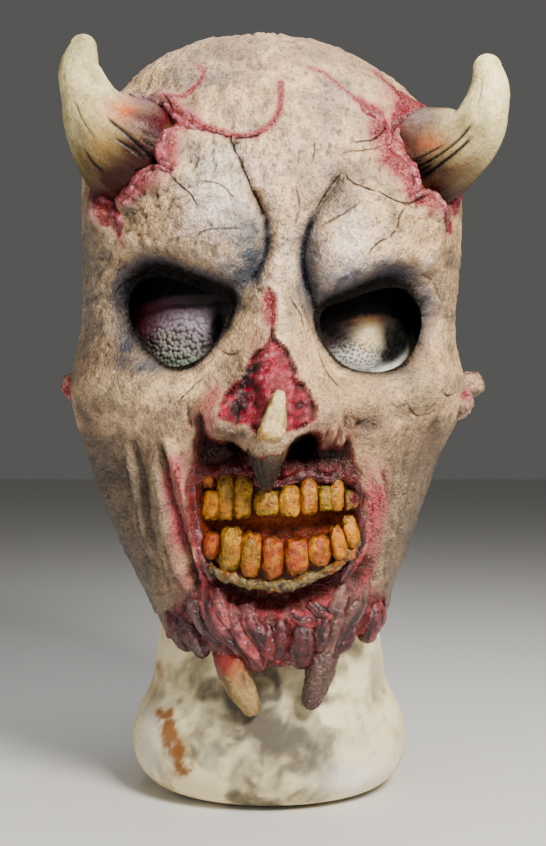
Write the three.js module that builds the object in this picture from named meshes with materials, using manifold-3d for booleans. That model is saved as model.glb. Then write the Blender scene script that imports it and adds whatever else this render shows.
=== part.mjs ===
// A horned, full-head latex horror mask on its foam display head. Millimetres, +Z up, the face towards -Y.
// The origin is the centre of the display head's flat underside. The mask is one hollow casting: horns,
// teeth, nose bone, side nubs, flesh strips and chin spurs are cast with the skin. The right side is +X.
import * as THREE from "three";
import { ParametricGeometry } from "three/addons/geometries/ParametricGeometry.js";
import { mergeVertices } from "three/addons/utils/BufferGeometryUtils.js";
import Module from "manifold-3d";

const wasm = await Module();
wasm.setup();

// Driving dimensions. The skull is a leaning dome above DOME_Z and a tapering oval tube below it.
const WALL = 4;
const FACE_WALL = 6; // the face is cast thicker, so that the carving leaves a whole skin
const DOME_Z = 300;
const DOME_RISE = 92;
const DOME_LEAN = -6.5;
const DOME_POWER = 2;
const OVAL_POWER = 2.3; // of the mask's plan: 2 is an ellipse, more is squarer
const DISPLAY_POWER = 2;
const CROWN_GAP = 2; // between the mask's inside and the display head that carries it

// The mask's reach to the left, to the right, in front of and behind the axis, by height.
const MASK = {
  power: OVAL_POWER,
  left: curve([
    [40, 54], [88, 59.5], [104, 66], [131, 79.5], [148, 87.5], [174, 95.5],
    [192, 101], [208, 103], [222, 101.5], [240, 98], [270, 97.5], [300, 98],
  ]),
  right: curve([
    [40, 55], [88, 61], [104, 64.5], [118, 69.5], [131, 74.5], [155, 83], [174, 89.5],
    [192, 98.5], [208, 101], [222, 99], [240, 97], [270, 99.5], [300, 101],
  ]),
  front: curve([
    [40, 72], [88, 81], [110, 86], [131, 91], [160, 95], [192, 97], [250, 97], [270, 99], [300, 99],
  ]),
  back: curve([
    [40, 60], [88, 66], [110, 74], [150, 89], [192, 100], [240, 108], [270, 108], [300, 106],
  ]),
};
const CAVITY = {
  power: OVAL_POWER,
  left: (z) => MASK.left(z) - WALL,
  right: (z) => MASK.right(z) - WALL,
  front: (z) => MASK.front(z) - FACE_WALL,
  back: (z) => MASK.back(z) - WALL,
};
// The ragged lower edge's height, by the angle from the face's middle in degrees.
const HEM = curve([
  [-180, 100], [-110, 98], [-80, 95], [-58, 91], [-44, 83], [-33, 78], [-24, 81], [-14, 78], [-5, 72],
  [9, 74], [17, 80], [30, 84], [44, 87], [55, 92], [75, 95], [110, 98], [180, 100],
]);
const HEM_TEETH = 1.2; // small ragged teeth along the hem
const CAVITY_BELOW = 3.5; // how far the cavity's cut runs out below the hem

// The display head: a turned foot and neck under a plain oval head.
const FOOT = [
  [0, 50], [2.5, 58.5], [6, 64], [13, 69.5], [23, 71.8], [32, 71.3], [41, 68.5], [48, 65], [56, 61.5],
  [70, 59.5], [88, 57],
];
const DISPLAY_SIDE = curve([
  ...FOOT, [110, 56.5], [130, 62], [150, 69], [175, 77], [205, 83], [240, 84], [270, 87], [300, 88],
]);
const DISPLAY_HEAD = {
  power: DISPLAY_POWER,
  left: DISPLAY_SIDE,
  right: DISPLAY_SIDE,
  front: curve([...FOOT, [110, 57], [130, 62], [150, 66], [175, 69], [240, 70], [270, 79], [300, 87]]),
  back: curve([...FOOT, [110, 60], [150, 76], [200, 94], [240, 98], [300, 96]]),
};
const EYEBALL = { wide: 18, tall: 14, high: 4, inset: 0.9 };

// Broad forms of the face in front view, which both sides of the skin follow: middle, half sizes, height.
const MOUNDS = [
  { name: "left brow", x: -38, z: 285, wide: 24, tall: 21, high: 9 },
  { name: "left brow's inner end", x: -16, z: 268, wide: 12, tall: 15, high: 10 },
  { name: "right brow", x: 47, z: 282, wide: 24, tall: 22, high: 8 },
  { name: "right brow's inner end", x: 31, z: 262, wide: 13, tall: 14, high: 10 },
  { name: "left cheekbone", x: -72, z: 207, wide: 20, tall: 14, high: 6 },
  { name: "right cheekbone", x: 74, z: 207, wide: 20, tall: 14, high: 6 },
  { name: "left nostril wing", x: -23, z: 192, wide: 11, tall: 11, high: 12 },
  { name: "right nostril wing", x: 24, z: 194, wide: 10, tall: 11, high: 11 },
  { name: "left of the mouth", x: -45, z: 155, wide: 10, tall: 36, high: 4 },
  { name: "right of the mouth", x: 53, z: 152, wide: 9, tall: 36, high: 4 },
  { name: "left nostril", x: -18, z: 176, wide: 9, tall: 6, high: -5 },
  { name: "right nostril", x: 16, z: 178, wide: 9, tall: 7, high: -7 },
];
const NOSE = { x: 1, topZ: 264, tipZ: 185, step: 7, topHigh: 5, tipHigh: 23, topWide: 9, tipWide: 18 };
const MOUTH = { x: 4.5, z: 142, wide: 41, tall: 36, deep: 12, power: 3, edge: 0.2 };
// The eye holes' outlines, and the dished rim round each.
const EYES = [
  {
    x: -43, z: 237, wide: 26, tall: 22,
    outline: [[-19, 247], [-33, 253], [-50, 259], [-63, 257], [-68, 245], [-64, 232], [-55, 222],
      [-45, 216], [-31, 221], [-22, 233]],
  },
  {
    x: 49, z: 234, wide: 26, tall: 21,
    outline: [[25, 242], [40, 249], [55, 254], [66, 253.5], [74, 243], [72, 229], [63, 217.5],
      [49, 213.5], [35, 217], [26, 228]],
  },
];
const RIM = { deep: 9, reach: 1.5 };

// Carving on the outside alone, as front-view paths: ridges stand out, grooves have a negative height.
const BROW_CREASE = { wide: 4, high: -3.5 };
const WOUND = { wide: 4.5, high: -4.5 };
const SINEW = { wide: 3.5, high: 3.5 };
const GROOVE = { wide: 3, high: -3.5 };
const CARVING = [
  { name: "left brow's crease", ...BROW_CREASE,
    path: [[-19, 322], [-12, 308], [-4, 292], [-2, 279], [-5, 265], [-13, 253]] },
  { name: "right brow's crease", ...BROW_CREASE,
    path: [[38, 302], [24, 287], [18.5, 278], [18, 267], [21, 254]] },
  { name: "nose wound's slit", ...GROOVE,
    path: [[1, 254], [1, 240], [0, 229]] },
  { name: "nose wound's left side", ...WOUND,
    path: [[0, 229], [-10, 219], [-13, 208], [-22, 197]] },
  { name: "nose wound's right side", ...WOUND,
    path: [[0, 229], [9, 217], [17, 203], [19, 196]] },
  { name: "left cheek's inner sinew", ...SINEW,
    path: [[-43, 173], [-39, 155], [-38, 142], [-34, 133], [-33, 121], [-35, 112]] },
  { name: "left cheek's first groove", ...GROOVE,
    path: [[-51, 176], [-46, 159], [-43, 138], [-39, 121], [-34, 107]] },
  { name: "left cheek's outer sinew", ...SINEW,
    path: [[-53, 173], [-49, 155], [-45, 136], [-39, 116]] },
  { name: "left cheek's second groove", ...GROOVE,
    path: [[-58, 166], [-54, 147], [-48, 128], [-41, 112]] },
  { name: "left cheek's third groove", ...GROOVE,
    path: [[-67, 178], [-62, 145], [-58, 123]] },
  { name: "left cheek's fourth groove", ...GROOVE,
    path: [[-79, 164], [-73, 144], [-64, 120]] },
  { name: "right cheek's inner sinew", ...SINEW,
    path: [[47, 164], [47, 138], [42, 121], [31, 103]] },
  { name: "right cheek's first groove", ...GROOVE,
    path: [[54, 169], [53, 147], [52, 129], [49, 121]] },
  { name: "right cheek's outer sinew", ...SINEW,
    path: [[58, 168], [58, 147], [56, 129], [51, 103]] },
  { name: "right cheek's second groove", ...GROOVE,
    path: [[67, 160], [64, 137], [62, 122], [60, 107]] },
];
const UPPER_GUM = { z: 167, sag: -4, tall: 6, high: 7 };
const LOWER_GUM = { z: 113, sag: 10, tall: 5, high: 8 };

// Teeth in front view: middle, size, lean in degrees. Each row stands on its jaw, a bar of [x, z, radius].
const UPPER_TEETH = {
  y: -88,
  jaw: [[-34, 157, 8], [-14, 158, 8], [8, 157, 8], [27, 158, 8], [42, 155, 7]],
  teeth: [
    [-28.8, 162.6, 8, 9, 4], [-27.6, 151, 9.8, 15, 8], [-20.1, 155.3, 9.2, 23, 4],
    [-12.2, 154.9, 9.6, 21, 5], [-1.3, 152, 12.4, 12, 0], [9.6, 153.3, 10.8, 15.5, 0],
    [18.7, 155.3, 9.4, 18, 0], [26.3, 154.4, 7, 12.5, 0], [31.8, 155.9, 7, 15.5, 0], [39.3, 153.1, 9, 10, 0],
  ],
};
const LOWER_TEETH = {
  y: -90,
  jaw: [[-30, 131, 7], [-15, 126, 8], [3, 123, 8], [24, 127, 8], [41, 136, 7]],
  teeth: [
    [-27.1, 131.5, 8.2, 12.5, 12], [-18, 130.2, 11, 22, 5], [-8.3, 127.8, 10, 21.5, 4],
    [1.7, 126.3, 11, 20.5, 0], [12.7, 126.9, 11.6, 18, 0], [23.3, 129.7, 11.2, 15, -6],
    [32.7, 133.2, 7.8, 17.5, -10], [38.4, 138.6, 7.6, 16, -12],
  ],
};
const TOOTH = { thick: 13, roundness: 0.5 };
const JAW = { arch: 10, behind: 8 };

// Flesh strips of the jaw: front-view path from top to bottom, and radius.
const STRIPS = [
  { path: [[-30.1, 107], [-27, 99], [-22, 91], [-14.4, 82.5]], radius: 5 },
  { path: [[-18.8, 104.4], [-17, 94], [-11, 84], [-4.7, 75.5]], radius: 4.4 },
  { path: [[-10.9, 104.4], [-8.5, 96], [-4, 88], [0, 80]], radius: 4.6 },
  { path: [[-1.2, 95], [-0.4, 89], [-1, 82], [-2.1, 76]], radius: 4 },
  { path: [[4.9, 98], [4.9, 92], [4.9, 86], [4.9, 80]], radius: 4.2 },
  { path: [[15.4, 97], [15.4, 90], [15.4, 84], [15.4, 77]], radius: 5.6 },
  { path: [[27.6, 103], [26, 96], [24.8, 90], [24.1, 83]], radius: 4.8 },
  { path: [[36.4, 113], [32.5, 103], [29.5, 93], [27.6, 82]], radius: 5 },
  { path: [[46, 113], [42, 104], [38, 96], [34.7, 88]], radius: 4.8 },
  { path: [[51.3, 101], [50.5, 96], [49.6, 91], [48.7, 86]], radius: 6 },
  { path: [[-47.6, 98], [-45.5, 93], [-43, 88], [-40.6, 82]], radius: 4.6 },
  { path: [[-43.3, 98], [-40, 92], [-36.5, 86], [-32.8, 80]], radius: 4.8 },
];
const STRIP = { sunk: 0.3, girth: [0.7, 1, 1, 0.85] };
// Centre lines in space, each point followed by the radius there.
const SPURS = [
  [[-21, -63, 88, 7.5], [-18.3, -69, 77, 8.8], [-15, -71, 66, 7.6], [-11, -70, 57.5, 6],
    [-8.8, -69, 53, 4.9]],
  [[28, -63, 88, 7], [25.8, -69, 77, 7.9], [22.7, -71, 64, 6.4], [20.4, -70, 56.5, 5]],
];
const HORNS = [
  [[-54, -56, 313, 27], [-69, -79, 321.5, 25.5], [-79.5, -89, 332, 18], [-84.8, -92, 342.5, 12.4],
    [-88, -92, 354, 9.4], [-86.5, -90, 364.5, 6.4]],
  [[68, -46, 317, 28], [86, -72, 321, 20.5], [96.5, -83, 326.5, 13.8], [101.5, -86, 337, 10.8],
    [103.4, -86, 347, 9.1], [102.4, -85, 356, 6.8]],
];
const SEPTUM = [[1, -96, 190, 12], [0.5, -110, 181, 11], [-0.5, -107, 169, 6.5], [-1, -99, 159, 3]];
const NOSE_BONE = { at: [1.5, -116, 192], size: [6.5, 9.5, 12], roundness: 0.7, lean: 2 };
const NUBS = [
  { at: [-100.5, -20, 208.5], size: [7, 7, 7] },
  { at: [100, -24, 208.5], size: [9, 9, 7.5] },
  { at: [94, -33, 202], size: [9, 8.5, 8] },
];

// How finely each surface is cut: columns round it, packed towards the face, rows over the dome, and rows
// below, which a power under 1 crowds towards the bottom.
const SKIN_GRID = { columns: 44, domeRows: 6, wallRows: 33, packed: 0.69, lowered: 1 };
const CAVITY_GRID = { columns: 24, domeRows: 5, wallRows: 16, packed: 0.55, lowered: 1 };
const DISPLAY_GRID = { columns: 22, domeRows: 6, wallRows: 20, packed: 0.1, lowered: 0.65 };

// A smooth curve through knots of [place, value], flat beyond its ends.
function curve(knots) {
  const last = knots.length - 1;
  const slope = knots.map((_, i) => {
    const before = knots[Math.max(i - 1, 0)];
    const after = knots[Math.min(i + 1, last)];
    return (after[1] - before[1]) / (after[0] - before[0]);
  });
  return (place) => {
    if (place <= knots[0][0]) return knots[0][1];
    if (place >= knots[last][0]) return knots[last][1];
    const i = knots.findIndex((knot) => knot[0] > place) - 1;
    const span = knots[i + 1][0] - knots[i][0];
    const t = (place - knots[i][0]) / span;
    const ease = 3 * t ** 2 - 2 * t ** 3;
    const bend = (t ** 3 - 2 * t ** 2 + t) * slope[i] + (t ** 3 - t ** 2) * slope[i + 1];
    return (1 - ease) * knots[i][1] + ease * knots[i + 1][1] + span * bend;
  };
}

const { clamp, degToRad, lerp, radToDeg, smoothstep } = THREE.MathUtils;
const bell = (dx, dz = 0) => Math.exp(-dx * dx - dz * dz);
const signedPower = (value, power) => Math.sign(value) * Math.abs(value) ** power;
const hemAt = (angle) => HEM(radToDeg(angle)) + HEM_TEETH * Math.sin(23 * angle);
const belowHem = (angle) => HEM(radToDeg(angle)) - CAVITY_BELOW;

// Distance in front view from a point to a path of straight stretches.
function pathDistance(path, x, z) {
  let nearest = Infinity;
  for (let i = 0; i + 1 < path.length; i++) {
    const [ax, az] = path[i];
    const [dx, dz] = [path[i + 1][0] - ax, path[i + 1][1] - az];
    const t = clamp(((x - ax) * dx + (z - az) * dz) / (dx * dx + dz * dz), 0, 1);
    nearest = Math.min(nearest, Math.hypot(x - ax - t * dx, z - az - t * dz));
  }
  return nearest;
}

// The nose: a ridge that widens and rises towards its tip, and steps back under it.
function noseRelief(x, z) {
  const down = clamp((NOSE.topZ - z) / (NOSE.topZ - NOSE.tipZ), 0, 1);
  const upperEnd = 1 - smoothstep(z, NOSE.topZ - 8, NOSE.topZ + 10);
  const lowerEnd = smoothstep(z, NOSE.tipZ - NOSE.step, NOSE.tipZ);
  const wide = lerp(NOSE.topWide, NOSE.tipWide, down);
  return lerp(NOSE.topHigh, NOSE.tipHigh, down) * bell((x - NOSE.x) / wide) * upperEnd * lowerEnd;
}

// 1 inside the torn mouth's pocket, 0 outside it.
function mouthShare(x, z) {
  const away = (Math.abs((x - MOUTH.x) / MOUTH.wide) ** MOUTH.power
    + Math.abs((z - MOUTH.z) / MOUTH.tall) ** MOUTH.power) ** (1 / MOUTH.power);
  return 1 - smoothstep(away, 1 - MOUTH.edge, 1);
}

function moundRelief({ x: middleX, z: middleZ, wide, tall, high }, x, z) {
  return high * bell((x - middleX) / wide, (z - middleZ) / tall);
}

// How far the skin's broad forms stand out at a front-view place.
function broadRelief(x, z) {
  let height = noseRelief(x, z) - MOUTH.deep * mouthShare(x, z);
  for (const mound of MOUNDS) height += moundRelief(mound, x, z);
  for (const eye of EYES) {
    const away = Math.hypot((x - eye.x) / eye.wide, (z - eye.z) / eye.tall);
    height -= RIM.deep * (1 - smoothstep(away, 1, RIM.reach));
  }
  return height;
}

// The cavity's forms stay behind the skin's: the lowest of the broad forms within a thumb's reach.
const THUMB = 7;
function cavityRelief(x, z) {
  const steps = [-THUMB, 0, THUMB];
  return Math.min(...steps.flatMap((dx) => steps.map((dz) => broadRelief(x + dx, z + dz))));
}

// The carving and the two gums.
function fineRelief(x, z) {
  const across = ((x - MOUTH.x) / MOUTH.wide) ** 2;
  const carved = CARVING.map(({ path, wide, high }) => high * bell(pathDistance(path, x, z) / wide));
  let height = Math.max(...carved, 0) + Math.min(...carved, 0);
  for (const gum of [UPPER_GUM, LOWER_GUM]) {
    height += gum.high * bell((z - gum.z - gum.sag * across) / gum.tall) * mouthShare(x, z);
  }
  return height;
}

// A place on an oval, dome-topped tube: its height, how much of the full girth it has there, and the angle
// from the face's middle, positive to the right.
function ovalPoint(shape, z, share, angle, rise) {
  const side = angle < 0 ? shape.left(z) : shape.right(z);
  const reach = Math.cos(angle) > 0 ? shape.front(z) : shape.back(z);
  const { power } = shape;
  const radius = share * (Math.abs(Math.sin(angle) / side) ** power
    + Math.abs(Math.cos(angle) / reach) ** power) ** (-1 / power);
  const lean = DOME_LEAN * Math.max(z - DOME_Z, 0) / rise;
  return new THREE.Vector3(radius * Math.sin(angle) + lean, -radius * Math.cos(angle), z);
}

// A closed solid from a grid: columns go round, and rows go down from the crown to the bottom, which closes
// on its middle. The relief pushes the face out or in.
function shellSolid(shape, rise, bottom, grid, relief) {
  const { columns, domeRows, wallRows, packed, lowered } = grid;
  const rows = domeRows + wallRows;
  return solidOf(new ParametricGeometry((u, v, point) => {
    const row = Math.round(v * (rows + 1));
    const turn = 2 * Math.PI * (0.5 - u);
    const angle = turn - packed * Math.sin(turn);
    if (row > rows) {
      point.set(0, 0, bottom(Math.PI));
      return;
    }
    const up = (1 - Math.min(row / domeRows, 1)) * (Math.PI / 2);
    const z = row < domeRows
      ? DOME_Z + rise * Math.sin(up) ** (2 / DOME_POWER)
      : lerp(DOME_Z, bottom(angle), ((row - domeRows) / wallRows) ** lowered);
    const share = row === 0 ? 0 : Math.cos(up) ** (2 / DOME_POWER);
    point.copy(ovalPoint(shape, z, share, angle, rise));
    const facing = smoothstep(Math.cos(angle), -0.1, 0.35);
    if (row === 0 || facing === 0) return;
    const outward = new THREE.Vector2(signedPower(Math.sin(angle), shape.power - 1),
      -signedPower(Math.cos(angle), shape.power - 1)).normalize();
    const out = relief(point.x, z) * facing;
    point.x += out * outward.x;
    point.y += out * outward.y;
  }, columns, rows + 1));
}

// A round bar along a path of [x, y, z, radius], flat at its start and rounded at its end.
const CAP_ROWS = 2;
function barSolid(path, sides, steps) {
  const line = new THREE.CatmullRomCurve3(path.map(([x, y, z]) => new THREE.Vector3(x, y, z)));
  const radiusAt = curve(path.map((point, i) => [i / (path.length - 1), point[3]]));
  const across = new THREE.Vector3();
  const up = new THREE.Vector3();
  const rows = steps + CAP_ROWS + 1;
  return solidOf(new ParametricGeometry((u, v, point) => {
    const row = Math.round(v * rows);
    const along = clamp((row - 1) / steps, 0, 1);
    const turn = -2 * Math.PI * u;
    const end = Math.max(row - 1 - steps, 0) / CAP_ROWS * (Math.PI / 2);
    const tangent = line.getTangent(along);
    across.crossVectors(tangent, new THREE.Vector3(0, 1, 0)).normalize();
    up.crossVectors(across, tangent);
    line.getPoint(along, point).addScaledVector(tangent, radiusAt(1) * Math.sin(end));
    const size = row === 0 || row === rows ? 0 : radiusAt(along) * Math.cos(end);
    point.addScaledVector(across, size * Math.cos(turn)).addScaledVector(up, size * Math.sin(turn));
  }, sides, rows));
}

// A ball, or with a roundness under 1 a rounded block, of three half sizes.
function ballSolid({ at, size, roundness = 1, lean = 0 }, columns, rows) {
  const shape = new THREE.SphereGeometry(1, columns, rows);
  const places = shape.getAttribute("position");
  for (let i = 0; i < places.count; i++) {
    const place = [places.getX(i), places.getZ(i), places.getY(i)];
    const [x, y, z] = place.map((value) => signedPower(value, roundness));
    places.setXYZ(i, x * size[0], -y * size[1], z * size[2]);
  }
  return solidOf(shape.rotateY(degToRad(lean)).translate(...at));
}

// The cutter for one eye hole: its outline carried back along Y.
function eyeCutter({ outline }) {
  const line = new THREE.SplineCurve([...outline, outline[0]].map(([x, z]) => new THREE.Vector2(x, z)));
  const face = new THREE.Shape(line.getPoints(22).slice(0, -1));
  const [frontY, backY] = [-120, -50];
  const cutter = new THREE.ExtrudeGeometry(face, { depth: backY - frontY, bevelEnabled: false });
  return solidOf(cutter.rotateX(Math.PI / 2).translate(0, backY, 0));
}

// three.js geometry to a solid: vertices merged by place, and collapsed triangles left out.
function solidOf(geometry) {
  const bare = new THREE.BufferGeometry().setAttribute("position", geometry.getAttribute("position"));
  const merged = mergeVertices(bare.setIndex(geometry.index), 1e-3);
  const kept = [];
  const index = merged.index.array;
  for (let i = 0; i < index.length; i += 3) {
    const [a, b, c] = index.slice(i, i + 3);
    if (a !== b && b !== c && a !== c) kept.push(a, b, c);
  }
  const vertProperties = merged.getAttribute("position").array;
  return new wasm.Manifold(new wasm.Mesh({ numProp: 3, vertProperties, triVerts: new Uint32Array(kept) }));
}

// A named mesh from a solid.
function meshOf(name, solid, material) {
  const { numProp, numVert, vertProperties, triVerts } = solid.getMesh();
  const places = new Float32Array(numVert * 3);
  for (let i = 0; i < numVert; i++) {
    places.set(vertProperties.subarray(i * numProp, i * numProp + 3), i * 3);
  }
  const geometry = new THREE.BufferGeometry();
  geometry.setAttribute("position", new THREE.BufferAttribute(places, 3));
  geometry.setIndex(new THREE.BufferAttribute(triVerts, 1));
  geometry.computeVertexNormals();
  const mesh = new THREE.Mesh(geometry, material);
  mesh.name = name;
  return mesh;
}

// Where the plain skin lies in front view.
function skinY(x, z) {
  const side = Math.min(Math.abs(x) / (x < 0 ? MASK.left(z) : MASK.right(z)), 1);
  return -MASK.front(z) * (1 - side ** OVAL_POWER) ** (1 / OVAL_POWER);
}

// One row of teeth, on a jaw that bends back to both sides.
function buildTeeth({ y: rowY, jaw, teeth }) {
  const archY = (x) => rowY + JAW.arch * ((x - MOUTH.x) / MOUTH.wide) ** 2;
  let solid = barSolid(jaw.map(([x, z, radius]) => [x, archY(x) + JAW.behind, z, radius]), 6, 5);
  for (const [x, z, wide, tall, lean] of teeth) {
    const size = [wide / 2, TOOTH.thick / 2, tall / 2];
    solid = solid.add(ballSolid({ at: [x, archY(x), z], size, roundness: TOOTH.roundness, lean }, 8, 4));
  }
  return solid;
}

// A flesh strip, half sunk in the skin.
function buildStrip({ path, radius }) {
  const line = path.map(([x, z], i) => [x, skinY(x, z) + STRIP.sunk * radius, z, STRIP.girth[i] * radius]);
  return barSolid(line, 5, 3);
}

function buildMask() {
  const everyRelief = (x, z) => broadRelief(x, z) + fineRelief(x, z);
  let solid = shellSolid(MASK, DOME_RISE, hemAt, SKIN_GRID, everyRelief);
  const castOn = [
    ...HORNS.map((horn) => barSolid(horn, 12, 8)),
    ...SPURS.map((spur) => barSolid(spur, 8, 5)),
    ...NUBS.map((nub) => ballSolid(nub, 10, 6)),
    ...STRIPS.map(buildStrip),
    buildTeeth(UPPER_TEETH),
    buildTeeth(LOWER_TEETH),
    barSolid(SEPTUM, 8, 4),
    ballSolid(NOSE_BONE, 8, 6),
  ];
  for (const piece of castOn) solid = solid.add(piece);
  const cavity = shellSolid(CAVITY, DOME_RISE - WALL, belowHem, CAVITY_GRID, cavityRelief);
  solid = solid.subtract(cavity);
  for (const eye of EYES) solid = solid.subtract(eyeCutter(eye));
  return largestOf(solid);
}

// Cutting can leave crumbs: only the main body is kept.
function largestOf(solid) {
  return solid.decompose().reduce((a, b) => (a.volume() > b.volume() ? a : b));
}

function buildDisplayHead() {
  const { wide, tall, high, inset } = EYEBALL;
  const eyeballs = EYES.map(({ x, z }) => ({ x: x * inset, z, wide, tall, high }));
  const bulge = (x, z) => eyeballs.reduce((sum, eyeball) => sum + moundRelief(eyeball, x, z), 0);
  return shellSolid(DISPLAY_HEAD, DOME_RISE - WALL - CROWN_GAP, () => 0, DISPLAY_GRID, bulge);
}

const LATEX = new THREE.MeshStandardMaterial({ color: 0xb7a189, roughness: 0.6, metalness: 0 });
const FOAM = new THREE.MeshStandardMaterial({ color: 0xd8d2c2, roughness: 0.8, metalness: 0 });

const displayedMask = new THREE.Group();
displayedMask.add(meshOf("mask", buildMask(), LATEX));
displayedMask.add(meshOf("display_head", buildDisplayHead(), FOAM));

export default displayedMask;
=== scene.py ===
"""Looks of a horned horror mask on its foam display head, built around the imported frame.

Named sizes are millimetres and meshes are metres. A place in front view is (x, z), as seen by someone who
faces the mask: x to the right and z up. The mask is cast latex, painted by hand and by airbrush.
"""
import itertools
import logging
from dataclasses import dataclass
from enum import Enum
from typing import Callable, Optional, Sequence, Union

import bpy
import numpy as np
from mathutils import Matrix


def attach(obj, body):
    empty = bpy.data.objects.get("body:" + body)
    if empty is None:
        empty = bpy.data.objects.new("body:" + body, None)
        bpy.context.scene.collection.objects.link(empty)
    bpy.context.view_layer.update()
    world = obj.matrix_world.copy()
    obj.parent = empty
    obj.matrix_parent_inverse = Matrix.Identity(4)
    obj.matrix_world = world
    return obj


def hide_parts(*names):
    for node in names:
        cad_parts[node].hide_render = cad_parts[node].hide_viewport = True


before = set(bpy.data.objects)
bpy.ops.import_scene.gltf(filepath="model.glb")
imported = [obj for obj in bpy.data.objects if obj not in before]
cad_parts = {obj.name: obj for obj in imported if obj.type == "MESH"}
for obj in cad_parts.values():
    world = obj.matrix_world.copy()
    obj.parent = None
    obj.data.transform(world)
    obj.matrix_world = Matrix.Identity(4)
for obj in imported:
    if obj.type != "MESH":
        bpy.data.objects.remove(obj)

log = logging.getLogger("mask")

Array = np.ndarray
Colour = Union[str, Array]
Values = Union[float, Array]
Points = Sequence[tuple[float, ...]]
MM = 0.001
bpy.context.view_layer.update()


def linear(colour: Colour) -> Array:
    """Turns an sRGB hex colour into linear red, green and blue.

    Args:
        colour: six hex digits, or linear values, which stay as they are.

    Returns:
        Values from 0 to 1.
    """
    if isinstance(colour, np.ndarray):
        return colour
    coded = np.array([int(colour[i:i + 2], 16) / 255 for i in (0, 2, 4)])
    return np.where(coded <= 0.04045, coded / 12.92, ((coded + 0.055) / 1.055) ** 2.4)


def smooth_step(value: Array, low: float, high: float) -> Array:
    """0 below low, 1 above high, and an S-shaped cubic between them."""
    share = np.clip((value - low) / (high - low), 0, 1)
    return share * share * (3 - 2 * share)


def bell(distance: Array) -> Array:
    """A Gaussian hump, 1 at 0 and about a third at 1."""
    return np.exp(-np.square(distance))


def lerp(start: Array, end: Array, share: Array) -> Array:
    """The value that lies a share of the way from start to end."""
    return start + (end - start) * share


def coats(base: Colour, *layers: tuple[Colour, Array]) -> Array:
    """Colours laid one over another.

    Args:
        base: the lowest colour, or a tint for each place.
        layers: the further colours, each with its cover, of which 0 to 1 counts.

    Returns:
        Linear red, green and blue for each place.
    """
    tint = linear(base)
    for colour, cover in layers:
        tint = lerp(tint, linear(colour), np.clip(cover, 0, 1)[..., None])
    return tint


def each(kind: Callable, *rows: tuple) -> tuple:
    """One thing of a kind from each row of its values."""
    return tuple(kind(*row) for row in rows)


@dataclass(frozen=True)
class KnotCurve:
    """A smooth curve through knots of (place, value), flat beyond its ends."""

    knots: Points

    def __call__(self, place: Array) -> Array:
        """Hermite interpolation, where each slope is that between a knot's neighbours.

        Args:
            place: places along the curve.

        Returns:
            The values there.
        """
        places, values = np.array(self.knots, float).T
        count = len(places)
        before = np.maximum(np.arange(count) - 1, 0)
        after = np.minimum(np.arange(count) + 1, count - 1)
        slope = (values[after] - values[before]) / (places[after] - places[before])
        place = np.clip(place, places[0], places[-1])
        i = np.clip(np.searchsorted(places, place, side="right") - 1, 0, count - 2)
        span = places[i + 1] - places[i]
        t = (place - places[i]) / span
        ease = t * t * (3 - 2 * t)
        bend = (t ** 3 - 2 * t ** 2 + t) * slope[i] + (t ** 3 - t ** 2) * slope[i + 1]
        return lerp(values[i], values[i + 1], ease) + span * bend


def smooth_path(points: Points, closed: bool = False, steps: int = 8) -> Array:
    """A Catmull-Rom curve through points, as a denser row of points.

    Args:
        points: the points, of any number of coordinates.
        closed: whether the last point joins the first.
        steps: how many stretches stand for each given one.

    Returns:
        One row per point of the curve.
    """
    given = np.array(points, float)
    if closed:
        ring = np.concatenate([given[-1:], given, given[:2]])
    else:
        ring = np.concatenate([2 * given[:1] - given[1:2], given, 2 * given[-1:] - given[-2:-1]])
    a, b, c, d = (ring[i:len(ring) - 3 + i, None] for i in range(4))
    t = (np.arange(steps) / steps)[None, :, None]
    square, cube = 2 * a - 5 * b + 4 * c - d, 3 * b - a - 3 * c + d
    curve = 0.5 * (2 * b + (c - a) * t + square * t ** 2 + cube * t ** 3).reshape(-1, given.shape[1])
    return curve if closed else np.concatenate([curve, given[-1:]])


def lattice(cells: Array, seed: int) -> Array:
    """Repeatable random values from 0 to 1, one for each whole-numbered cell.

    Args:
        cells: whole coordinates, two or three in the last axis.
        seed: chooses the set of values.

    Returns:
        A value for each cell, from a hash of its coordinates.
    """
    mixed = np.full(cells.shape[:-1], seed * 7919 + 17, np.int64)
    for axis, prime in zip(range(cells.shape[-1]), (73856093, 19349663, 83492791)):
        mixed = mixed ^ (cells[..., axis] * prime)
        mixed = (mixed ^ (mixed >> 13)) * 1274126177
    return ((mixed ^ (mixed >> 16)) & 0xFFFFF) / 0xFFFFF


def smooth_noise(points: Array, size: float, seed: int) -> Array:
    """Value noise: random values at lattice corners, mixed by a fifth-degree ease.

    Args:
        points: coordinates in the last axis.
        size: the lattice spacing in the same unit.
        seed: chooses the pattern.

    Returns:
        Values from -1 to 1.
    """
    scaled = points / size
    cell = np.floor(scaled).astype(np.int64)
    part = scaled - cell
    part = part ** 3 * (part * (part * 6 - 15) + 10)
    total = np.zeros(points.shape[:-1])
    for corner in itertools.product((0, 1), repeat=points.shape[-1]):
        weight = np.prod(np.where(np.array(corner) == 1, part, 1 - part), axis=-1)
        total += weight * lattice(cell + np.array(corner), seed)
    return 2 * total - 1


def fractal(points: Array, size: float, seed: int, octaves: int = 3) -> Array:
    """A sum of value noises, each half the size and half the height of the one before."""
    layers = [smooth_noise(points, size / 2 ** i, seed + i) / 2 ** i for i in range(octaves)]
    return sum(layers) / 1.5


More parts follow.
